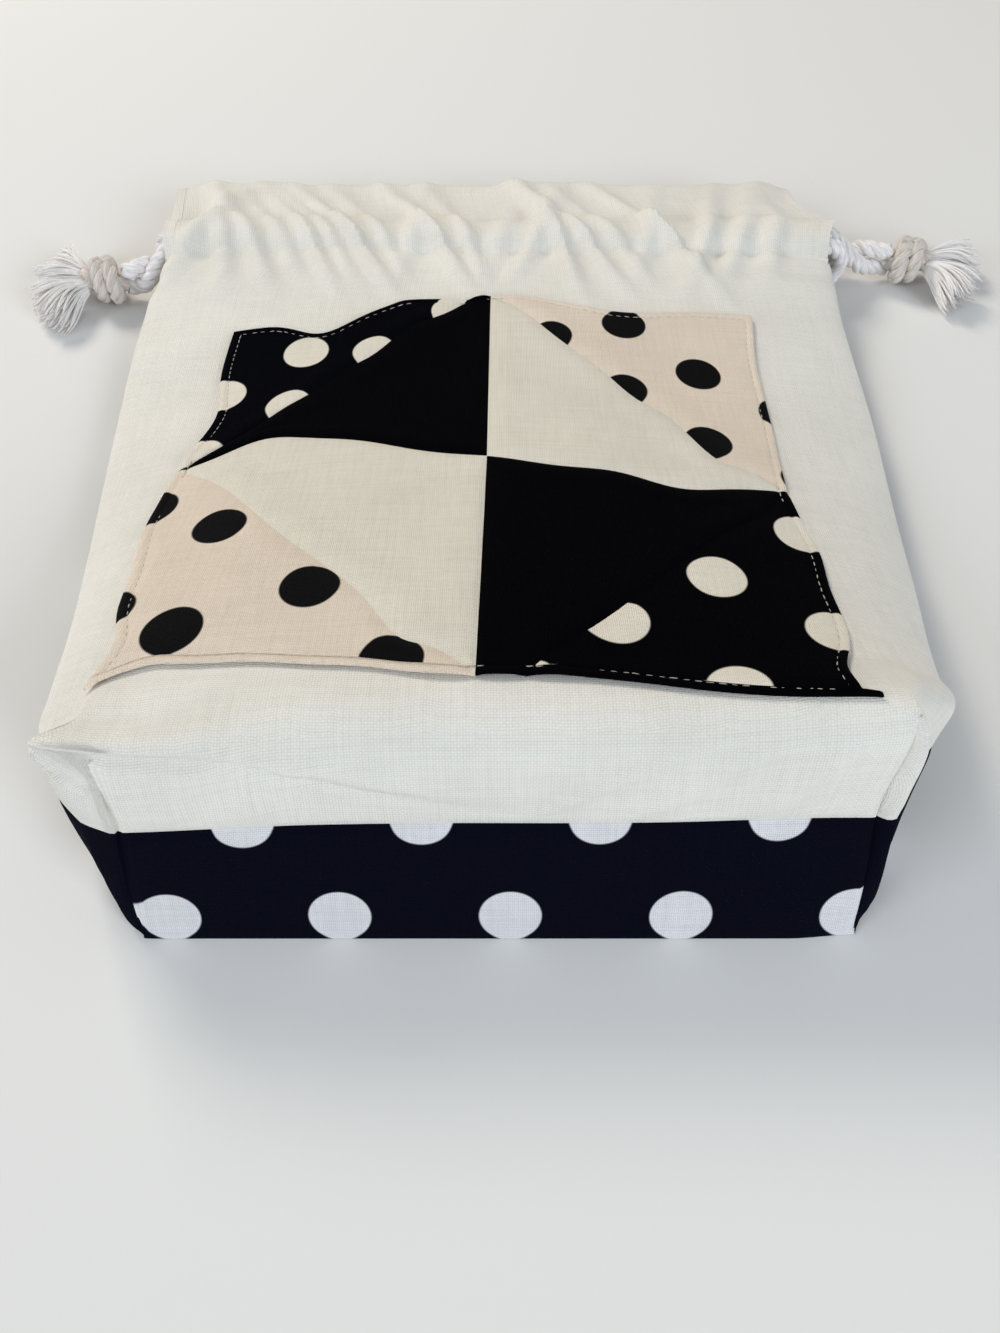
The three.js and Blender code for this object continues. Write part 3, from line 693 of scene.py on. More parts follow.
ivory = cloth_material("ivory_cotton", IVORY, IVORY_PITCH)
dotted_back = cloth_material("dotted_back_cotton", NAVY, BLACK_PITCH, BACK_GLOSS, staggered_dots)
black = cloth_material("black_cotton", BLACK, BLACK_PITCH, BLACK_GLOSS)
cream = cloth_material("cream_cotton", CREAM, CREAM_PITCH)
patch_materials = {}
for (up, right), centres in PATCH_DOTS.items():
    if (up == "upper") == (right == "left"):
        cloth = SOFT_BLACK if up == "upper" else BLACK
        print_mask = dots_at(centres, CREAM_PRINT)
        printed = cloth_material(f"black_dots_{up}", cloth, BLACK_PITCH, BLACK_GLOSS, print_mask)
        patch_materials[up, right] = {"inner": black, "outer": printed}
    else:
        printed = cloth_material(f"cream_dots_{up}", WARM, CREAM_PITCH, dots=dots_at(centres, BLACK))
        patch_materials[up, right] = {"inner": cream, "outer": printed}
cord_cotton = rope_material("cotton_cord", ((0.99, 0.98, 0.975), (0.9, 0.87, 0.865)), 0.3)
# The knots get the cord's cotton made darker and greyer: painted shade for the shade in and between their
# wraps
knot_shade_cotton = rope_material("knot_painted_shade_cotton", ((0.91, 0.875, 0.84), (0.79, 0.75, 0.71)), 0.2)
yarn_cotton = rope_material("frayed_cotton", ((1, 0.985, 0.97), (0.99, 0.965, 0.95)), 0.9)
pale_thread = thread_material("pale_thread", ((0.82, 0.79, 0.74), (0.64, 0.61, 0.56)))
ivory_thread = thread_material("ivory_thread", ((0.95, 0.94, 0.91), (0.86, 0.85, 0.82)))


def dress(item, material, node, body=None):
    """Gives a piece its material, hides the solid that it stands for, and puts it on the body that it
    rides on, if one is given.
    """
    item.data.materials.clear()
    item.data.materials.append(material)
    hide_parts(node)
    if body:
        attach(item, body)
    return item


def dress_halves(item, name, material, node):
    """Splits a cloth at the middle, and finishes the halves."""
    for side, half in halves(item, name).items():
        thicken(half)
        dress(half, material, node)
        follow_mouth(half, side)


def row_places(side):
    """Where each row of a panel lies along the length: close together beside the corner seams."""
    share = np.linspace(0, 1, FOLD_ROWS + 1)[:-1, None]
    closeness = mix(1.35, 2.1, smooth(side / 0.4))[None, :]
    near_fold = FOLD_SETBACK + FOLD_ZONE * share**closeness
    beyond = np.linspace(FOLD_SETBACK + FOLD_ZONE, CHANNEL_START, PANEL_ROWS)[:, None]
    return np.concatenate([near_fold, np.broadcast_to(beyond, (PANEL_ROWS, len(side)))])


def path_lengths(places, axis=0):
    """Distances along a path, or along a grid's rows or columns."""
    steps = np.linalg.norm(np.diff(places, axis=axis), axis=-1)
    start = np.zeros_like(places[..., 0].take([0], axis=axis))
    return np.concatenate([start, np.cumsum(steps, axis=axis)], axis=axis)


def panel_grid(point, half_span, cells, relief):
    """A panel's places, with its middle part and the margin on each side down to the side seam.

    The lengths along its threads are taken over the cloth as it lies, with its relief.
    """
    margin = np.linspace(0, 1, MARGIN_CELLS + 1)[1:]
    inner = np.linspace(0, 1, 2 * cells - 5)
    edge = half_span * EDGE_COLUMNS / BLOCK
    even = mix(edge[-1] - half_span, half_span - edge[-1], inner)
    middle = np.concatenate([edge[:-1] - half_span, even, half_span - edge[-2::-1]])
    x = np.concatenate([np.full(MARGIN_CELLS, -half_span), middle, np.full(MARGIN_CELLS, half_span)])
    side = np.concatenate([margin[::-1], np.zeros(len(middle)), margin])
    places = point(x[None, :], side[None, :], row_places(side))
    height = relief(places.reshape(-1, 3)).reshape(places.shape[:2])
    shaped = settle(places + normals_of(places) * height[..., None])
    u = path_lengths(shaped, 1)
    v = path_lengths(shaped, 0)
    return places, u - u[:, [u.shape[1] // 2]], v - v[-1] + CHANNEL_START


def face_grid(edge, seam_z, cells):
    """The bottom face's half of a panel, between its fold and the bottom seam, and its columns."""
    columns = slice(MARGIN_CELLS, MARGIN_CELLS + 2 * cells + 1)
    share = np.linspace(0, 1, MARGIN_CELLS + 1)[:, None]
    fold = edge[columns]
    x = np.broadcast_to(fold[None, :, 0], (MARGIN_CELLS + 1, fold.shape[0]))
    face = points(x, mix(fold[None, :, 1], SEAM_SETBACK, share), mix(fold[None, :, 2], seam_z, share))
    return face, columns


def seam_grooves(p):
    """Depth that the sewn seams draw the cloth in, at the corners, the bottom and the sides."""
    x, y, z = abs(p[:, 0]), p[:, 1], p[:, 2]
    on_left = p[:, 0] < 0
    distance = np.hypot(x - BASE_HALF_WIDTH, y - on_seam(z))
    face = smooth((24 - y) / 3) * smooth((BASE_HALF_WIDTH + 2 - x) / 4)
    bottom = bump(z, SEAM_HEIGHT, 1.3) * face
    corner = bump(distance, 0, 0.95) * smooth((np.where(on_left, 50, 53) - z) / 4)
    beside = smooth(distance / 3) * smooth((x - 75) / 3) * smooth((27 - y) / 6)
    tuck = 1.1 * bump(z, 41.5, 1.6) * on_left * beside
    roll = bump(distance, 2.8, 1.6) * smooth((x - BASE_HALF_WIDTH) / 1.5)
    return np.maximum(0.8 * bottom, 1.7 * corner) + tuck - np.where(on_left, 0.4, 1.3) * roll


def soften_corners(item):
    """Evens out the cloth where a corner seam ends under the fold."""
    p = coordinates(item)
    corner = points(np.sign(p[:, 0]) * 80, 18, 45)
    distance = np.linalg.norm((p - corner) / (1, 1, 1.3), axis=1)
    share = smooth((13 - distance) / 7)
    group = item.vertex_groups.new(name="corners")
    for index in np.flatnonzero(share > 0.01):
        group.add([int(index)], float(share[index]), "REPLACE")
    apply_modifier(item, "SMOOTH", factor=0.5, iterations=5, vertex_group="corners")
    item.vertex_groups.clear()


def front_height(p):
    """How far the front cloth stands out from its plain form."""
    x, y, z = p[:, 0], p[:, 1], p[:, 2]
    on_top = smooth((y - 24) / 8)
    behind_roll = -1.5 * bump(y, 29, 4) * bump(x, -78, 22) * smooth((z - 40) / 6)
    return front_relief(x, y) * on_top + face_relief(x, z) * (1 - on_top) + behind_roll - seam_grooves(p)


def back_height(p):
    """How far the back cloth stands out from its plain form."""
    side_seam = bump(p[:, 2] - along(SIDE_SEAM, p[:, 1]), 0, 2.2) * smooth((abs(p[:, 0]) - 80) / 6)
    return -seam_grooves(p) * smooth(p[:, 2] / 3) - 1.4 * side_seam


def shape_panel(panel, face, height):
    """One cloth from a panel and its half of the bottom face, with its relief and as it lies."""
    item = join(panel, face)
    weld(item)
    push(item, height(coordinates(item)))
    set_coordinates(item, settle(coordinates(item)))
    return item


def make_front():
    """The front cloth, from the bottom seam over the fold to the channel."""
    places, u, v = panel_grid(front_point, BLOCK, BLOCK_CELLS, front_height)
    face, columns = face_grid(places[0], SEAM_HEIGHT + 0.1, BLOCK_CELLS)
    down = FOLD_SETBACK - path_lengths(settle(face))
    panel = grid("front", places, u, v)
    item = shape_panel(panel, grid("face", face[::-1], u[[0], columns], down[::-1]), front_height)
    soften_corners(item)
    dress_halves(item, "front_cloth", ivory, "front_panel")


def make_back():
    """The back cloth, from the bottom seam round the lower edge to the channel."""
    places, u, v = panel_grid(back_point, 1, BACK_CELLS, lambda p: -back_height(p))
    face, columns = face_grid(places[0], SEAM_HEIGHT - 0.1, BACK_CELLS)
    up = np.linspace(0, SEAM_TO_LOWER_EDGE, MARGIN_CELLS + 1)[:, None]
    panel = grid("back", places[::-1], u[::-1], (v[:1] - v)[::-1])
    item = shape_panel(panel, grid("face", face, u[[0], columns], up), back_height)
    dress_halves(item, "back_cloth", dotted_back, "back_panel")


def front_at(x, y):
    """The front cloth's place at a distance across from its middle line."""
    half_width = along(HALF_WIDTH, y)
    share = np.clip((abs(x) - BLOCK) / (half_width - BLOCK), 0, 1)
    return front_point(np.sign(x) * np.minimum(abs(x), BLOCK), np.arcsin(share) * 2 / math.pi, y)


def above_front(x, y, lift):
    """A place that lies a little above the front cloth, and the cloth's normal there."""
    step = 0.4
    across = front_at(x + step, y) - front_at(x - step, y)
    length = front_at(x, y + step) - front_at(x, y - step)
    normal = np.cross(across, length)
    normal /= np.linalg.norm(normal, axis=-1, keepdims=True)
    height = front_relief(x, y) + lift
    return settle(front_at(x, y) + normal * height[..., None]), normal


# Where the patchwork's sewn corners lie on the front, row by row from the bottom
PATCH_CORNERS = np.array([
    [(-81.5, 34.5), (-4.8, 33), (68.8, 24.3)],
    [(-83.3, 116.8), (-3.3, 113.7), (72.2, 106.3)],
    [(-79, 181.1), (-2.9, 192.7), (77, 188.1)],
])

# Where the quilted cloth has crept: place on the flat square, reach and shift, each across and up
PUCKERS = [
    (-52, 79, 11, 14, 0, -8),
    (-24, 79, 12, 14, 0, 4),
    (-23, 57, 15, 12, 0, 8.5),
    (-42, 40, 14, 12, 0, 6.5),
    (-79, 30, 20, 18, 3.5, 0),
    (-79, -22, 22, 14, -2.2, 0),
    (-79, -66, 12, 9, 2.5, 0),
    (-60, 0, 14, 13, 0, 8.5),
    (-38, 0, 20, 15, 0, 8.5),
    (-60, -19, 16, 12, 0, 3),
    (-56, 23, 12, 12, 0, 5),
    (-50, -79, 24, 12, 0, 6),
    (-17, -62, 9, 9, 0, -5),
    (-70, -79, 10, 10, 0, 4),
    (-22, -79, 12, 10, 0, 2),
    (28, -79, 26, 12, 0, 2.7),
    (12, -66, 12, 10, 0, 1.5),
    (70, -9, 12, 11, 0, -2.5),
    (50, 0, 14, 13, 0, -6.5),
    (20, 0, 14, 13, 0, -2.5),
    (8, 70, 14, 12, 0, 5),
    (62, 19, 12, 11, 0, -8),
    (41, 38, 10, 10, 0, -4),
    (40, 79, 18, 12, 0, -4),
    (79, 29, 14, 14, 0.5, 0),
    (79, 60, 14, 12, -0.8, 0),
    (79, -27, 14, 14, 2.6, 0),
    (79, -52, 12, 13, 2, 0),
    (79, -70, 10, 7, -2, 0),
]


# The two ends of each block's slanting seam on the flat square
SLANT_SEAMS = {
    ("upper", "left"): ((-79, 0), (-7, 79)),
    ("upper", "right"): ((79, 0), (0, 79)),
    ("lower", "left"): ((-79, 0), (0, -79)),
    ("lower", "right"): ((79, 0), (10.4, -79)),
}
WAY = {"left": -1, "right": 1, "lower": -1, "upper": 1}

# How much closer the cells of a patch lie at its edges, and how far along the print its hem is cut
PATCH_CLOSENESS = 0.7
HEM_PRINT_SHIFT = 80


def skew(x, y):
    """Moves a place of the flat square, measured from its middle, to where the sewn patchwork lies."""
    i, j = x / BLOCK + 1, y / BLOCK + 1
    left, low = (np.clip(k, 0, 1.999).astype(int) for k in (i, j))
    a, b = (i - left)[..., None], (j - low)[..., None]
    corner = PATCH_CORNERS
    lower = mix(corner[low, left], corner[low, left + 1], a)
    upper = mix(corner[low + 1, left], corner[low + 1, left + 1], a)
    place = mix(lower, upper, b)
    for at_x, at_y, reach_x, reach_y, across, up in PUCKERS:
        share = bump(x, at_x, reach_x) * bump(y, at_y, reach_y)
        place = place + share[..., None] * (across, up)
    hem_end = 3.4 * smooth((HEM_BAND - y - BLOCK) / 1.2) * smooth((x - 66) / 13)
    return place[..., 0] + hem_end, place[..., 1]


def flat_places(item):
    """The corners of a mesh, in millimetres from the middle of the flat square."""
    return coordinates(item) - (0, MIDDLE_Y, 0)


def block_cloth(name, up, right):
    """The cloth of one block of the flat square, with its cells closer at the edges."""
    deselect()
    bpy.ops.mesh.primitive_grid_add(
        x_subdivisions=PATCH_CELLS,
        y_subdivisions=PATCH_CELLS,
        size=BLOCK * MM,
        location=(WAY[right] * BLOCK / 2 * MM, WAY[up] * BLOCK / 2 * MM, 0),
    )
    item = bpy.context.object
    item.name = name
    bpy.ops.object.transform_apply()
    even = flat_places(item)
    turn = 2 * math.pi / BLOCK
    set_coordinates(item, even - PATCH_CLOSENESS / turn * np.sin(turn * even) + (0, MIDDLE_Y, 0))
    return item


def cut_patch(up, right, part):
    """A patch cut from its block, and how far its corners are from the slanting seam."""
    start, end = (np.array(place, float) for place in SLANT_SEAMS[up, right])
    slope = (end - start) / np.linalg.norm(end - start)
    outward = np.array((-slope[1], slope[0]))
    outward *= np.sign(outward @ start)
    kept = outward if part == "outer" else -outward
    item = block_cloth(f"patch_{up}_{right}_{part}_cloth", up, right)
    cut(item, (*start * MM, 0), (*kept, 0))
    weld(item, 0.05)
    return item, abs((flat_places(item)[:, :2] - start) @ outward)


def make_patch(up, right, part):
    """One piece of the patchwork, laid over the front."""
    item, seam = cut_patch(up, right, part)
    x, y, _ = flat_places(item).T
    if part == "inner":
        seam = np.minimum(seam, np.minimum(abs(x), abs(y)))
    edge = BLOCK - np.maximum(abs(x), abs(y))
    lift = PATCH_LIFT - 0.4 * bump(seam, 0, 1.1) + 0.35 * bump(seam, 5, 4)
    lift = lift + 0.25 * bump(edge, 0.8, 0.7) - 0.2 * bump(edge, STITCH_INSET, 0.5)
    across, length = skew(x, y)
    places, _ = above_front(across, length, lift)
    set_coordinates(item, places)
    hem = BLOCK + y < HEM_BAND
    set_threads(item, np.stack([across, length - HEM_PRINT_SHIFT * hem], -1))
    thicken(item, PATCH_CLOTH)
    dress(item, patch_materials[up, right][part], f"patch_{up}_{right}_{part}", "pouch")


def stitch_shape():
    """One sewn stitch: a short bent bit of thread with rounded ends."""
    deselect()
    bpy.ops.mesh.primitive_uv_sphere_add(segments=8, ring_count=6, radius=1)
    item = bpy.context.object
    bpy.ops.transform.resize(value=(STITCH / 2 * MM, THREAD / 2 * MM, THREAD / 2 * MM))
    bpy.ops.object.transform_apply()
    bpy.ops.object.shade_smooth()
    return item


def sew(name, places, directions, normals, material, node):
    """A row of stitches, each a copy of one stitch laid along the row."""
    pattern = stitch_shape()
    copies = []
    for place, direction, normal in zip(to_row(places), directions, normals):
        along_row = Vector(direction).normalized()
        across = Vector(normal).normalized().cross(along_row).normalized()
        turn = Matrix((along_row, across, along_row.cross(across))).transposed().to_4x4()
        copies.append(copy_of(pattern))
        copies[-1].data.transform(Matrix.Translation(place) @ turn)
    bpy.data.objects.remove(pattern)
    item = join(*copies)
    item.name = name
    return dress(item, material, node)


def make_patch_topstitching():
    """Stitches round the patchwork, a little uneven and sunk in, as a hand leaves them."""
    half = BLOCK - STITCH_INSET
    count = int(2 * half / STITCH_PITCH)
    t = (np.arange(count) + 0.5) / count * 2 * half - half
    sides = ((1, 0), (0, 1), (-1, 0), (0, -1))
    x, y = np.concatenate([(t * dx + half * dy, t * dy - half * dx) for dx, dy in sides], axis=1)
    dx, dy = np.repeat(sides, count, axis=0).T
    lift = np.full(len(x), PATCH_LIFT + PATCH_CLOTH / 2 - 0.16)
    place, normal = above_front(*skew(x, y), lift)
    ahead, _ = above_front(*skew(x + dx, y + dy), lift)
    random = np.random.default_rng(STITCH_SEED)
    place = place - normal * random.uniform(0, 0.13, (len(x), 1))
    lean = normal * random.uniform(-0.08, 0.08, (len(x), 1))
    turned = ahead - place + lean + random.uniform(-0.1, 0.1, place.shape)
    stitches = sew("patch_topstitches", place, turned, normal, pale_thread, "patch_topstitching")
    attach(stitches, "pouch")


def channel_line(stitch, wall, edge):
    """The line of a folded channel: out along its outer layer, round the mouth edge and back."""
    slope = CHANNEL_START + STITCH_MARGIN
    places = [
        (CHANNEL_START, stitch),
        (slope, stitch),
        (slope + CHANNEL_SLOPE, wall),
        (CHANNEL_END - CHANNEL_SLOPE, wall),
        (CHANNEL_END, stitch),
        (MOUTH_EDGE - LAYER / 2 - HALF_CLOTH, edge),
    ]
    tip = (MOUTH_EDGE - HALF_CLOTH, sum(edge) / 2)
    outer = [(y, level[0]) for y, level in places]
    inner = [(y, level[1]) for y, level in places]
    return outer + [tip] + inner[::-1], len(outer)


FRONT_EDGE_Z = FRONT_CORD_Z - HEADER_DROP
FRONT_LINE = channel_line(
    (FRONT_TOP_Z, FRONT_CORD_Z - LAYER / 2),
    (FRONT_CORD_Z + WALL, FRONT_CORD_Z - WALL),
    (FRONT_EDGE_Z + LAYER / 2, FRONT_EDGE_Z - LAYER / 2),
)
BACK_LINE = channel_line(
    (HALF_CLOTH, HALF_CLOTH + LAYER),
    (HALF_CLOTH, BACK_CORD_Z + WALL),
    (HALF_CLOTH, HALF_CLOTH + LAYER),
)


def fine_line(line, rounds=12):
    """Even steps along a line with its corners rounded off, their distances and where its tip is."""
    corners, tip = line
    corners = np.array(corners, float)
    lengths = path_lengths(corners)
    s = np.linspace(0, lengths[-1], int(lengths[-1] / CHANNEL_STEP) + 1)
    fine = np.stack([np.interp(s, lengths, corners[:, k]) for k in (0, 1)], -1)
    for _ in range(rounds):
        fine[1:-1] = (fine[:-2] + 2 * fine[1:-1] + fine[2:]) / 4
    return fine, s, lengths[tip]


def droop(x, y):
    """How far the front's cloth has dropped towards its side seam where the channel starts."""
    panel_end = front_at(x, np.full(np.shape(x), float(PANEL_LENGTH)))[..., 2]
    return (panel_end - FRONT_TOP_Z) * smooth((228 - y) / 8)


def channel_places(fine, outer, xs, front):
    """The places of a channel's cloth. outer says for each step whether it is on the outer layer."""
    x, y = np.broadcast_arrays(xs[None, :], fine[:, None, 0])
    z = np.broadcast_to(fine[:, None, 1], x.shape)
    header = smooth((y - CHANNEL_END) / 6)
    if front:
        share = np.where(outer[:, None], 1.0, header)
        lift = front_relief(x, y) * share + droop(x, y) * outer[:, None]
    else:
        share = np.where(outer[:, None], 0.5 * header, 0.5)
        lift = np.maximum(gathers(x + 5, y), 0) * share
    return settle(points(x, y, z + lift))


def make_casing(front):
    """The folded channel and the header beyond it, of the front or the back."""
    place = "front" if front else "back"
    fine, s, tip = fine_line(FRONT_LINE if front else BACK_LINE)
    if not front:
        fine, s, tip = fine[::-1], s[-1] - s[::-1], s[-1] - tip
    xs = np.linspace(-HEM_START, HEM_START, CHANNEL_COLUMNS)
    outer = s <= tip if front else s >= tip
    v = s if front else -s
    places = channel_places(fine, outer, xs, front)
    item = grid(f"{place}_channel", places, xs[None, :], v[:, None] + CHANNEL_START)
    cloth, slot_name = (ivory, "ivory_cotton") if front else (dotted_back, "dotted_back_cotton")
    dress_halves(item, f"{place}_casing_cloth", cloth, f"{place}_casing")


def make_slit_hem(side):
    """The folded band round a slit: along the front channel's end, the slit's foot and the back's end."""
    front, front_s, front_tip = fine_line(FRONT_LINE)
    back, back_s, back_tip = fine_line(BACK_LINE)
    xs = side * np.linspace(HEM_START - 0.5, HEM_END, 5)[::side]
    front_end = channel_places(front, front_s <= front_tip, xs, True)
    back_end = channel_places(back[::-1], (back_s <= back_tip)[::-1], xs, False)
    down = np.linspace(0, 1, 12)[1:-1]
    foot = mix(front_end[-1], back_end[0], down[:, None, None])
    foot[..., 1] -= 1.2 * np.sin(down * math.pi)[:, None]
    places = np.concatenate([front_end, foot, back_end])
    v = np.arange(len(places)) * CHANNEL_STEP
    item = grid(f"{HANDS[side]}_slit_band", places, xs[None, :] - side * HEM_START, v[:, None])
    thicken(item, SLIT_CLOTH)
    dress(item, ivory, f"{HANDS[side]}_slit_hem")
    follow_mouth(item, side)


def make_casing_stitches(front, row, y):
    """One row of stitches along a channel, as a left and a right half."""
    place = "front" if front else "back"
    node = f"{place}_casing_{row}_stitching"
    count = int(HEM_START / STITCH_PITCH)
    ys = np.full(count, float(y))
    for side, hand in HANDS.items():
        x = side * (np.arange(count) + 0.5) / count * HEM_START
        if front:
            z = FRONT_TOP_Z + HALF_CLOTH + front_relief(x, ys) + droop(x, ys)
        else:
            z = LAYER + CLOTH + 0.5 * np.maximum(gathers(x + 5, ys), 0)
        places = settle(points(x, ys, z + THREAD / 4))
        directions = np.tile((1.0, 0, 0), (count, 1))
        normals = np.tile((0, 0, 1.0), (count, 1))
        item = sew(f"{place}_{row}_stitches_{hand}", places, directions, normals, ivory_thread, node)
        follow_mouth(item, side)


# How far inside its seam each allowance starts, and how wide it is
SIDE_ALLOWANCE = (2.2, 7.5)
CORNER_ALLOWANCE = (3.8, 3.8)
BOTTOM_ALLOWANCE = (1.2, 7.3)


def sew_allowance(name, places, u, v, node):
    """A strip of seam allowance inside the bag."""
    item = grid(name, settle(places), u, v)
    thicken(item, ALLOWANCE_CLOTH)
    return dress(item, ivory, node)


def make_side_seam(side):
    """The sewn allowance inside a side seam."""
    rows = np.linspace(32, 219, 90)[:, None]
    share = np.linspace(0, 1, 7)[None, :]
    edge = front_point(np.full(rows.shape, float(side * BLOCK)), np.ones(rows.shape), rows)
    start, width = SIDE_ALLOWANCE
    inward = start + width * share
    ripple = 0.5 * np.sin(rows / 4.1) * share
    places = points(edge[..., 0] - side * inward, edge[..., 1], edge[..., 2] + ripple)
    hand = HANDS[side]
    item = sew_allowance(f"{hand}_side_allowance", places[:, ::-side], inward, rows, f"{hand}_side_seam")
    follow_mouth(item, side)


def make_corner_seam(side):
    """The sewn allowance inside a corner seam of the bottom face."""
    height = np.linspace(5, 38, 30)[:, None]
    start, width = CORNER_ALLOWANCE
    inward = (start + np.linspace(0, 1, 5) * width)[None, :] * math.sqrt(0.5)
    places = points(side * (BASE_HALF_WIDTH - inward), on_seam(height) + inward, height)
    name, node = f"{HANDS[side]}_corner_allowance", f"{HANDS[side]}_corner_seam"
    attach(sew_allowance(name, places[:, ::-side], inward, height, node), "pouch")


def make_bottom_seam():
    """The sewn allowance inside the bottom seam."""
    xs = np.linspace(-69, 69, 93)[None, :]
    start, width = BOTTOM_ALLOWANCE
    inward = np.linspace(start, start + width, 7)[:, None]
    z = SEAM_HEIGHT + 0.4 * np.sin(xs / 5) * (inward / (start + width))
    places = points(xs, SEAM_SETBACK + inward, z)
    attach(sew_allowance("bottom_allowance", places, xs, inward, "bottom_seam"), "pouch")


def frames(path):
    """Two directions square to a path at each of its points, turning as little as they can."""
    tangent = np.gradient(path, axis=0)
    tangent /= np.linalg.norm(tangent, axis=1, keepdims=True)
    first = np.empty_like(path)
    side = np.cross(tangent[0], (0, 0, 1))
    if np.linalg.norm(side) < 0.1:
        side = np.cross(tangent[0], (0, 1, 0))
    for k, direction in enumerate(tangent):
        side = side - direction * (side @ direction)
        side /= np.linalg.norm(side)
        first[k] = side
    return first, np.cross(tangent, first)


def even_path(control, step=0.9):
    """A smooth path through the control points in even steps, and the distances along it."""
    control = np.array(control, float)
    ends = np.vstack([2 * control[0] - control[1], control, 2 * control[-1] - control[-2]])
    t = np.linspace(0, 1, 24, endpoint=False)[:, None]
    pieces = []
    for a, b, c, d in zip(ends[:-3], ends[1:-2], ends[2:-1], ends[3:]):
        curve = 2 * b + (c - a) * t + (2 * a - 5 * b + 4 * c - d) * t**2
        pieces.append(0.5 * (curve + (3 * b - a - 3 * c + d) * t**3))
    fine = np.vstack(pieces + [control[-1:]])
    lengths = path_lengths(fine)
    s = np.linspace(0, lengths[-1], max(int(lengths[-1] / step), 2) + 1)
    return np.stack([np.interp(s, lengths, fine[:, k]) for k in range(3)], -1), s


def tube(name, path, radius, sides):
    """A closed tube along a path. radius is one value or one for each point."""
    first, second = (direction[:, None] for direction in frames(path))
    angle = np.linspace(0, 2 * math.pi, sides + 1)
    radius = np.broadcast_to(radius, (len(path),))[:, None, None]
    ring = np.cos(angle)[None, :, None] * first + np.sin(angle)[None, :, None] * second
    places = path[:, None] + ring * radius
    item = grid(name, places[:, ::-1], angle * radius.mean(), path_lengths(path)[:, None])
    weld(item, 0.005)
    with editing(item, "DESELECT"):
        bpy.ops.mesh.select_mode(type="EDGE")
        bpy.ops.mesh.select_non_manifold(extend=False)
        bpy.ops.mesh.edge_face_add()
        bpy.ops.mesh.select_mode(type="VERT")
    bpy.ops.object.shade_smooth_by_angle(angle=math.radians(60))
    return item


# The cord's three strands: the length of one turn, and each strand's place and size by the diameter
ROPE_LAY = 11
STRAND_OFFSET = 0.245
STRAND_RADIUS = 0.262
STRAND_SIDES = 9


def rope(name, control, diameter, phase=0.0, thinner=0.0):
    """Three strands twisted round one another along a path, thinner towards its end."""
    path, s = even_path(control)
    first, second = frames(path)
    size = diameter * (1 - thinner * (s / s[-1]) ** 3)
    strands = []
    for k in range(3):
        turn = phase + 2 * math.pi * (s / ROPE_LAY + k / 3)
        out = np.cos(turn)[:, None] * first + np.sin(turn)[:, None] * second
        strand = path + out * (STRAND_OFFSET * size)[:, None]
        strands.append(tube(f"{name}_strand_{k}", strand, STRAND_RADIUS * size, STRAND_SIDES))
    item = join(*strands)
    item.name = name
    return item


def twisted_end(side, sign):
    """Half of the stretch between a cord's slit and its knot, where the two halves twist together."""
    knot = np.array(KNOTS[side], float)
    start = np.array([side * BEND_X, CORD_Y[side], BEND_Z])
    end = knot - (side * (KNOT_LENGTH / 2 + GAP), 0, 0)
    places = []
    for t in np.linspace(0, 1, 9):
        angle = math.pi * smooth((t - 0.12) / 0.76)
        reach = mix(BEND_RADIUS, 2.95, smooth(t / 0.45))
        centre = mix(start, end, t)
        centre[1] = mix(start[1], end[1], smooth(t))
        places.append(centre + sign * reach * np.array([0, -math.sin(angle), math.cos(angle)]))
    return places


def cord_control(side):
    """A drawcord's route: knot, front channel, round the far slit, back channel and knot again."""
    cord_y = CORD_Y[side]
    run = np.linspace(side * BEND_X, -side * BEND_X, 12)
    front = [(x, cord_y, FRONT_CORD_Z) for x in run[1:]]
    back = [(x, cord_y, BACK_CORD_Z) for x in run[::-1][1:]]
    bend = [
        (-side * (BEND_X + BEND_RADIUS * math.sin(a)), cord_y, BEND_Z + BEND_RADIUS * math.cos(a))
        for a in np.linspace(0, math.pi, 9)[1:-1]
    ]
    return np.vstack([twisted_end(side, 1)[::-1], front, bend, back, twisted_end(side, -1)[1:]])


def make_drawcord(side):
    """One twisted drawcord, from its knot through both channels and back."""
    hand = HANDS[side]
    item = rope(f"{hand}_drawcord_rope", cord_control(side), CORD)
    return dress(item, cord_cotton, f"{hand}_drawcord", f"{hand}_cord")


# Each wrap of a knot: its shift along the cord, its lean and its size
KNOT_WRAPS = [(-2.2, 0.55, 1.0), (1.6, 0.35, 0.92)]
WRAP_DIAMETER = 5.2
CORE_DIAMETER = 7.5


def make_knot(side):
    """An overhand knot: the cord's wraps round its own standing part."""
    hand = HANDS[side]
    knot = np.array(KNOTS[side])
    pieces = []
    for k, (shift, lean, size) in enumerate(KNOT_WRAPS):
        angle = np.linspace(0, 2 * math.pi, 15)[:-1] + 0.4 * k
        forward = side * (shift + 4 * lean * np.sin(angle))
        ring = knot + points(forward, 5.9 * size * np.sin(angle), 4.9 * size * np.cos(angle))
        tail = [ring[0] + (side * 1.2, 0, -0.6), knot + (side * (shift + 3), 1.0, 0.5)]
        pieces.append(rope(f"{hand}_wrap_{k}", [*ring, *tail], WRAP_DIAMETER, phase=k))
    core = knot + points(side * np.array((-6.6, 0, 6.8)), 0, 0)
    item = join(*pieces, rope(f"{hand}_core", core, CORE_DIAMETER))
    item.name = f"{hand}_overhand_knot"
    # The knot's darker, greyer colour is painted shade
    return dress(item, knot_shade_cotton, f"{hand}_knot", f"{hand}_cord")


# Frayed ends. Each: how far across the knot it starts, its direction and its spread in degrees
TASSEL_LENGTH = 17.5
NECK_DIAMETER = 4.6
YARNS = 105
YARN_ROWS = 9
YARN_SIDES = 5
TASSELS = {
    (-1, "upper"): (1.6, 30, 66),
    (-1, "lower"): (-1.6, -42, 84),
    (1, "upper"): (1.6, 4, 54),
    (1, "lower"): (-1.6, -52, 62),
}


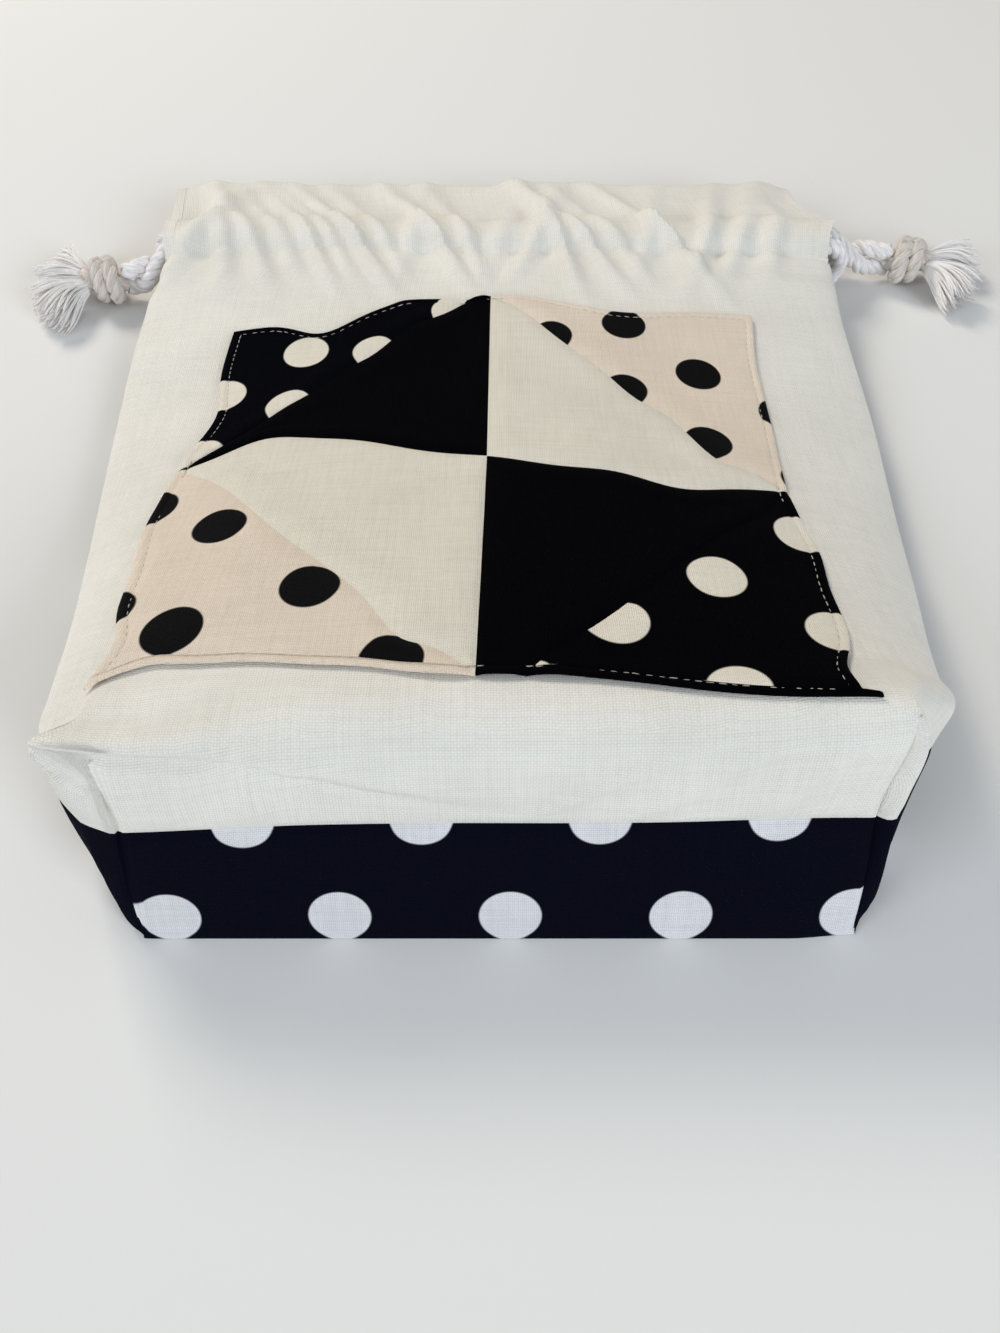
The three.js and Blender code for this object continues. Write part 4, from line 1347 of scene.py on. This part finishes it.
def yarn_shape():
    """One thin closed yarn of radius 1, with its rows one apart."""
    return tube("yarn", points(0, 0, np.arange(YARN_ROWS)), 1, YARN_SIDES)


def lay_yarn(pattern, path, radius):
    """A copy of the yarn, bent along a path."""
    one = copy_of(pattern)
    first, second = frames(path)
    p = coordinates(pattern)
    row = np.clip(np.round(p[:, 2]), 0, YARN_ROWS - 1).astype(int)
    out = first[row] * p[:, [0]] + second[row] * p[:, [1]]
    set_coordinates(one, path[row] + out * radius[row, None])
    return one


def yarn_path(root, way, spread, random):
    """One yarn of a fan: straight in the neck, then spread to its own side."""
    across = np.array((-way[1], way[0], 0.0))
    fan = math.radians(spread / 2) * random.uniform(-1, 1)
    height = random.uniform(-1, 1)
    length = TASSEL_LENGTH * random.uniform(0.86, 1.05)
    wave = random.uniform(-1, 1, 3)
    t = np.linspace(0, 1, YARN_ROWS)
    open_up = smooth((t + 0.1) / 0.6)
    direction = np.cos(fan * open_up)[:, None] * way + np.sin(fan * open_up)[:, None] * across
    path = root + np.cumsum(direction * length / (YARN_ROWS - 1), axis=0)
    path += across * (1.5 * math.sin(2 * fan) + 0.35 * wave[0] * np.sin(3 * t + 3 * wave[1]))[:, None]
    path[:, 2] += height * (1.8 + 3.4 * np.sin(2.4 * t)) - 2.2 * t**2 + 0.3 * wave[2] * np.sin(4 * t)
    path[:, 2] = np.maximum(path[:, 2], 0.6)
    return path


def make_tassel(side, row, seed):
    """A frayed cord end: many fine yarns that fan out from a short twisted neck."""
    offset, lean, spread = TASSELS[side, row]
    hand = HANDS[side]
    turn = math.radians(lean)
    way = np.array((side * math.cos(turn), math.sin(turn), 0.0))
    root = np.array(KNOTS[side]) + (side * (KNOT_LENGTH / 2 - 1.5), offset, -0.6)
    random = np.random.default_rng(seed)
    pattern = yarn_shape()
    taper = np.interp(np.linspace(0, 1, YARN_ROWS), (0, 0.85, 1), (1, 0.9, 0.4))
    yarns = [
        lay_yarn(pattern, yarn_path(root, way, spread, random), random.uniform(0.32, 0.46) * taper)
        for _ in range(YARNS)
    ]
    bpy.data.objects.remove(pattern)
    neck_line = [root - way * 2, root, root + way * 2.5]
    item = join(*yarns, rope(f"{hand}_{row}_neck", neck_line, NECK_DIAMETER, thinner=0.35))
    item.name = f"{hand}_{row}_fringe"
    return dress(item, yarn_cotton, f"{hand}_tassel_{row}", f"{hand}_cord")


make_front()
make_back()
for up in ("upper", "lower"):
    for right in ("left", "right"):
        for part in ("inner", "outer"):
            make_patch(up, right, part)
make_patch_topstitching()
for front in (True, False):
    make_casing(front)
    make_casing_stitches(front, "lower", CHANNEL_START + STITCH_MARGIN / 2)
    make_casing_stitches(front, "upper", CHANNEL_END + STITCH_MARGIN / 2)
for side in HANDS:
    make_slit_hem(side)
    make_side_seam(side)
    make_corner_seam(side)
make_bottom_seam()
for side in HANDS:
    rope_item = make_drawcord(side)
    knot_item = make_knot(side)
    tassels = [make_tassel(side, row, 7 + k + side) for k, row in enumerate(("upper", "lower"))]
    rope_path, _ = even_path(cord_control(side))
    length = float(path_lengths(rope_path)[-1]) * MM

# Camera, and the photo's frame in pixels
CAMERA_HEIGHT = 212.4
CAMERA_BEFORE = 72.5
CAMERA_TILT = 56
SENSOR = 36
FOCAL_PIXELS = 1000
PHOTO_HEIGHT = 1333

# The floor's width in metres, and the strength of the light from all around
FLOOR_SIZE = 8
SKY_LIGHT = 0.3


def make_camera():
    place = to_row((0, -CAMERA_BEFORE, CAMERA_HEIGHT))
    bpy.ops.object.camera_add(location=place, rotation=(math.radians(90 - CAMERA_TILT), 0, 0))
    camera = bpy.context.object
    camera.data.sensor_width = SENSOR
    camera.data.lens = FOCAL_PIXELS * SENSOR / PHOTO_HEIGHT
    camera.data.clip_start = 0.01
    bpy.context.scene.camera = camera


def make_lamp(name, place, size, watts, colour):
    """A soft lamp that points at the middle of the pouch."""
    turn = (-Vector(place)).to_track_quat("-Z", "Y").to_euler()
    bpy.ops.object.light_add(type="AREA", location=place, rotation=turn)
    lamp = bpy.context.object
    lamp.name = name
    lamp.data.size = size
    lamp.data.energy = watts
    lamp.data.color = colour


def make_floor():
    deselect()
    bpy.ops.mesh.primitive_plane_add(size=FLOOR_SIZE)
    floor = bpy.context.object
    floor.name = "floor"
    paint = Paint("floor", Roughness=0.9, Specular_IOR_Level=0.1)
    paint.set("Base Color", (0.8, 0.79, 0.77, 1))
    floor.data.materials.append(paint.material)


def make_world():
    world = bpy.data.worlds.new("studio")
    world.use_nodes = True
    background = world.node_tree.nodes["Background"]
    background.inputs["Color"].default_value = (1, 1, 1, 1)
    background.inputs["Strength"].default_value = SKY_LIGHT
    bpy.context.scene.world = world


make_camera()
make_lamp("key", (-0.7, 0.95, 1.0), 0.45, 12.5, (1, 0.935, 0.83))
make_lamp("right_fill", (0.95, -1.0, 0.7), 0.6, 11.5, (0.79, 0.89, 1))
make_lamp("left_fill", (-1.2, -0.8, 0.7), 0.8, 9, (0.81, 0.9, 1))
make_floor()
make_world()
bpy.context.scene.view_settings.view_transform = "Standard"
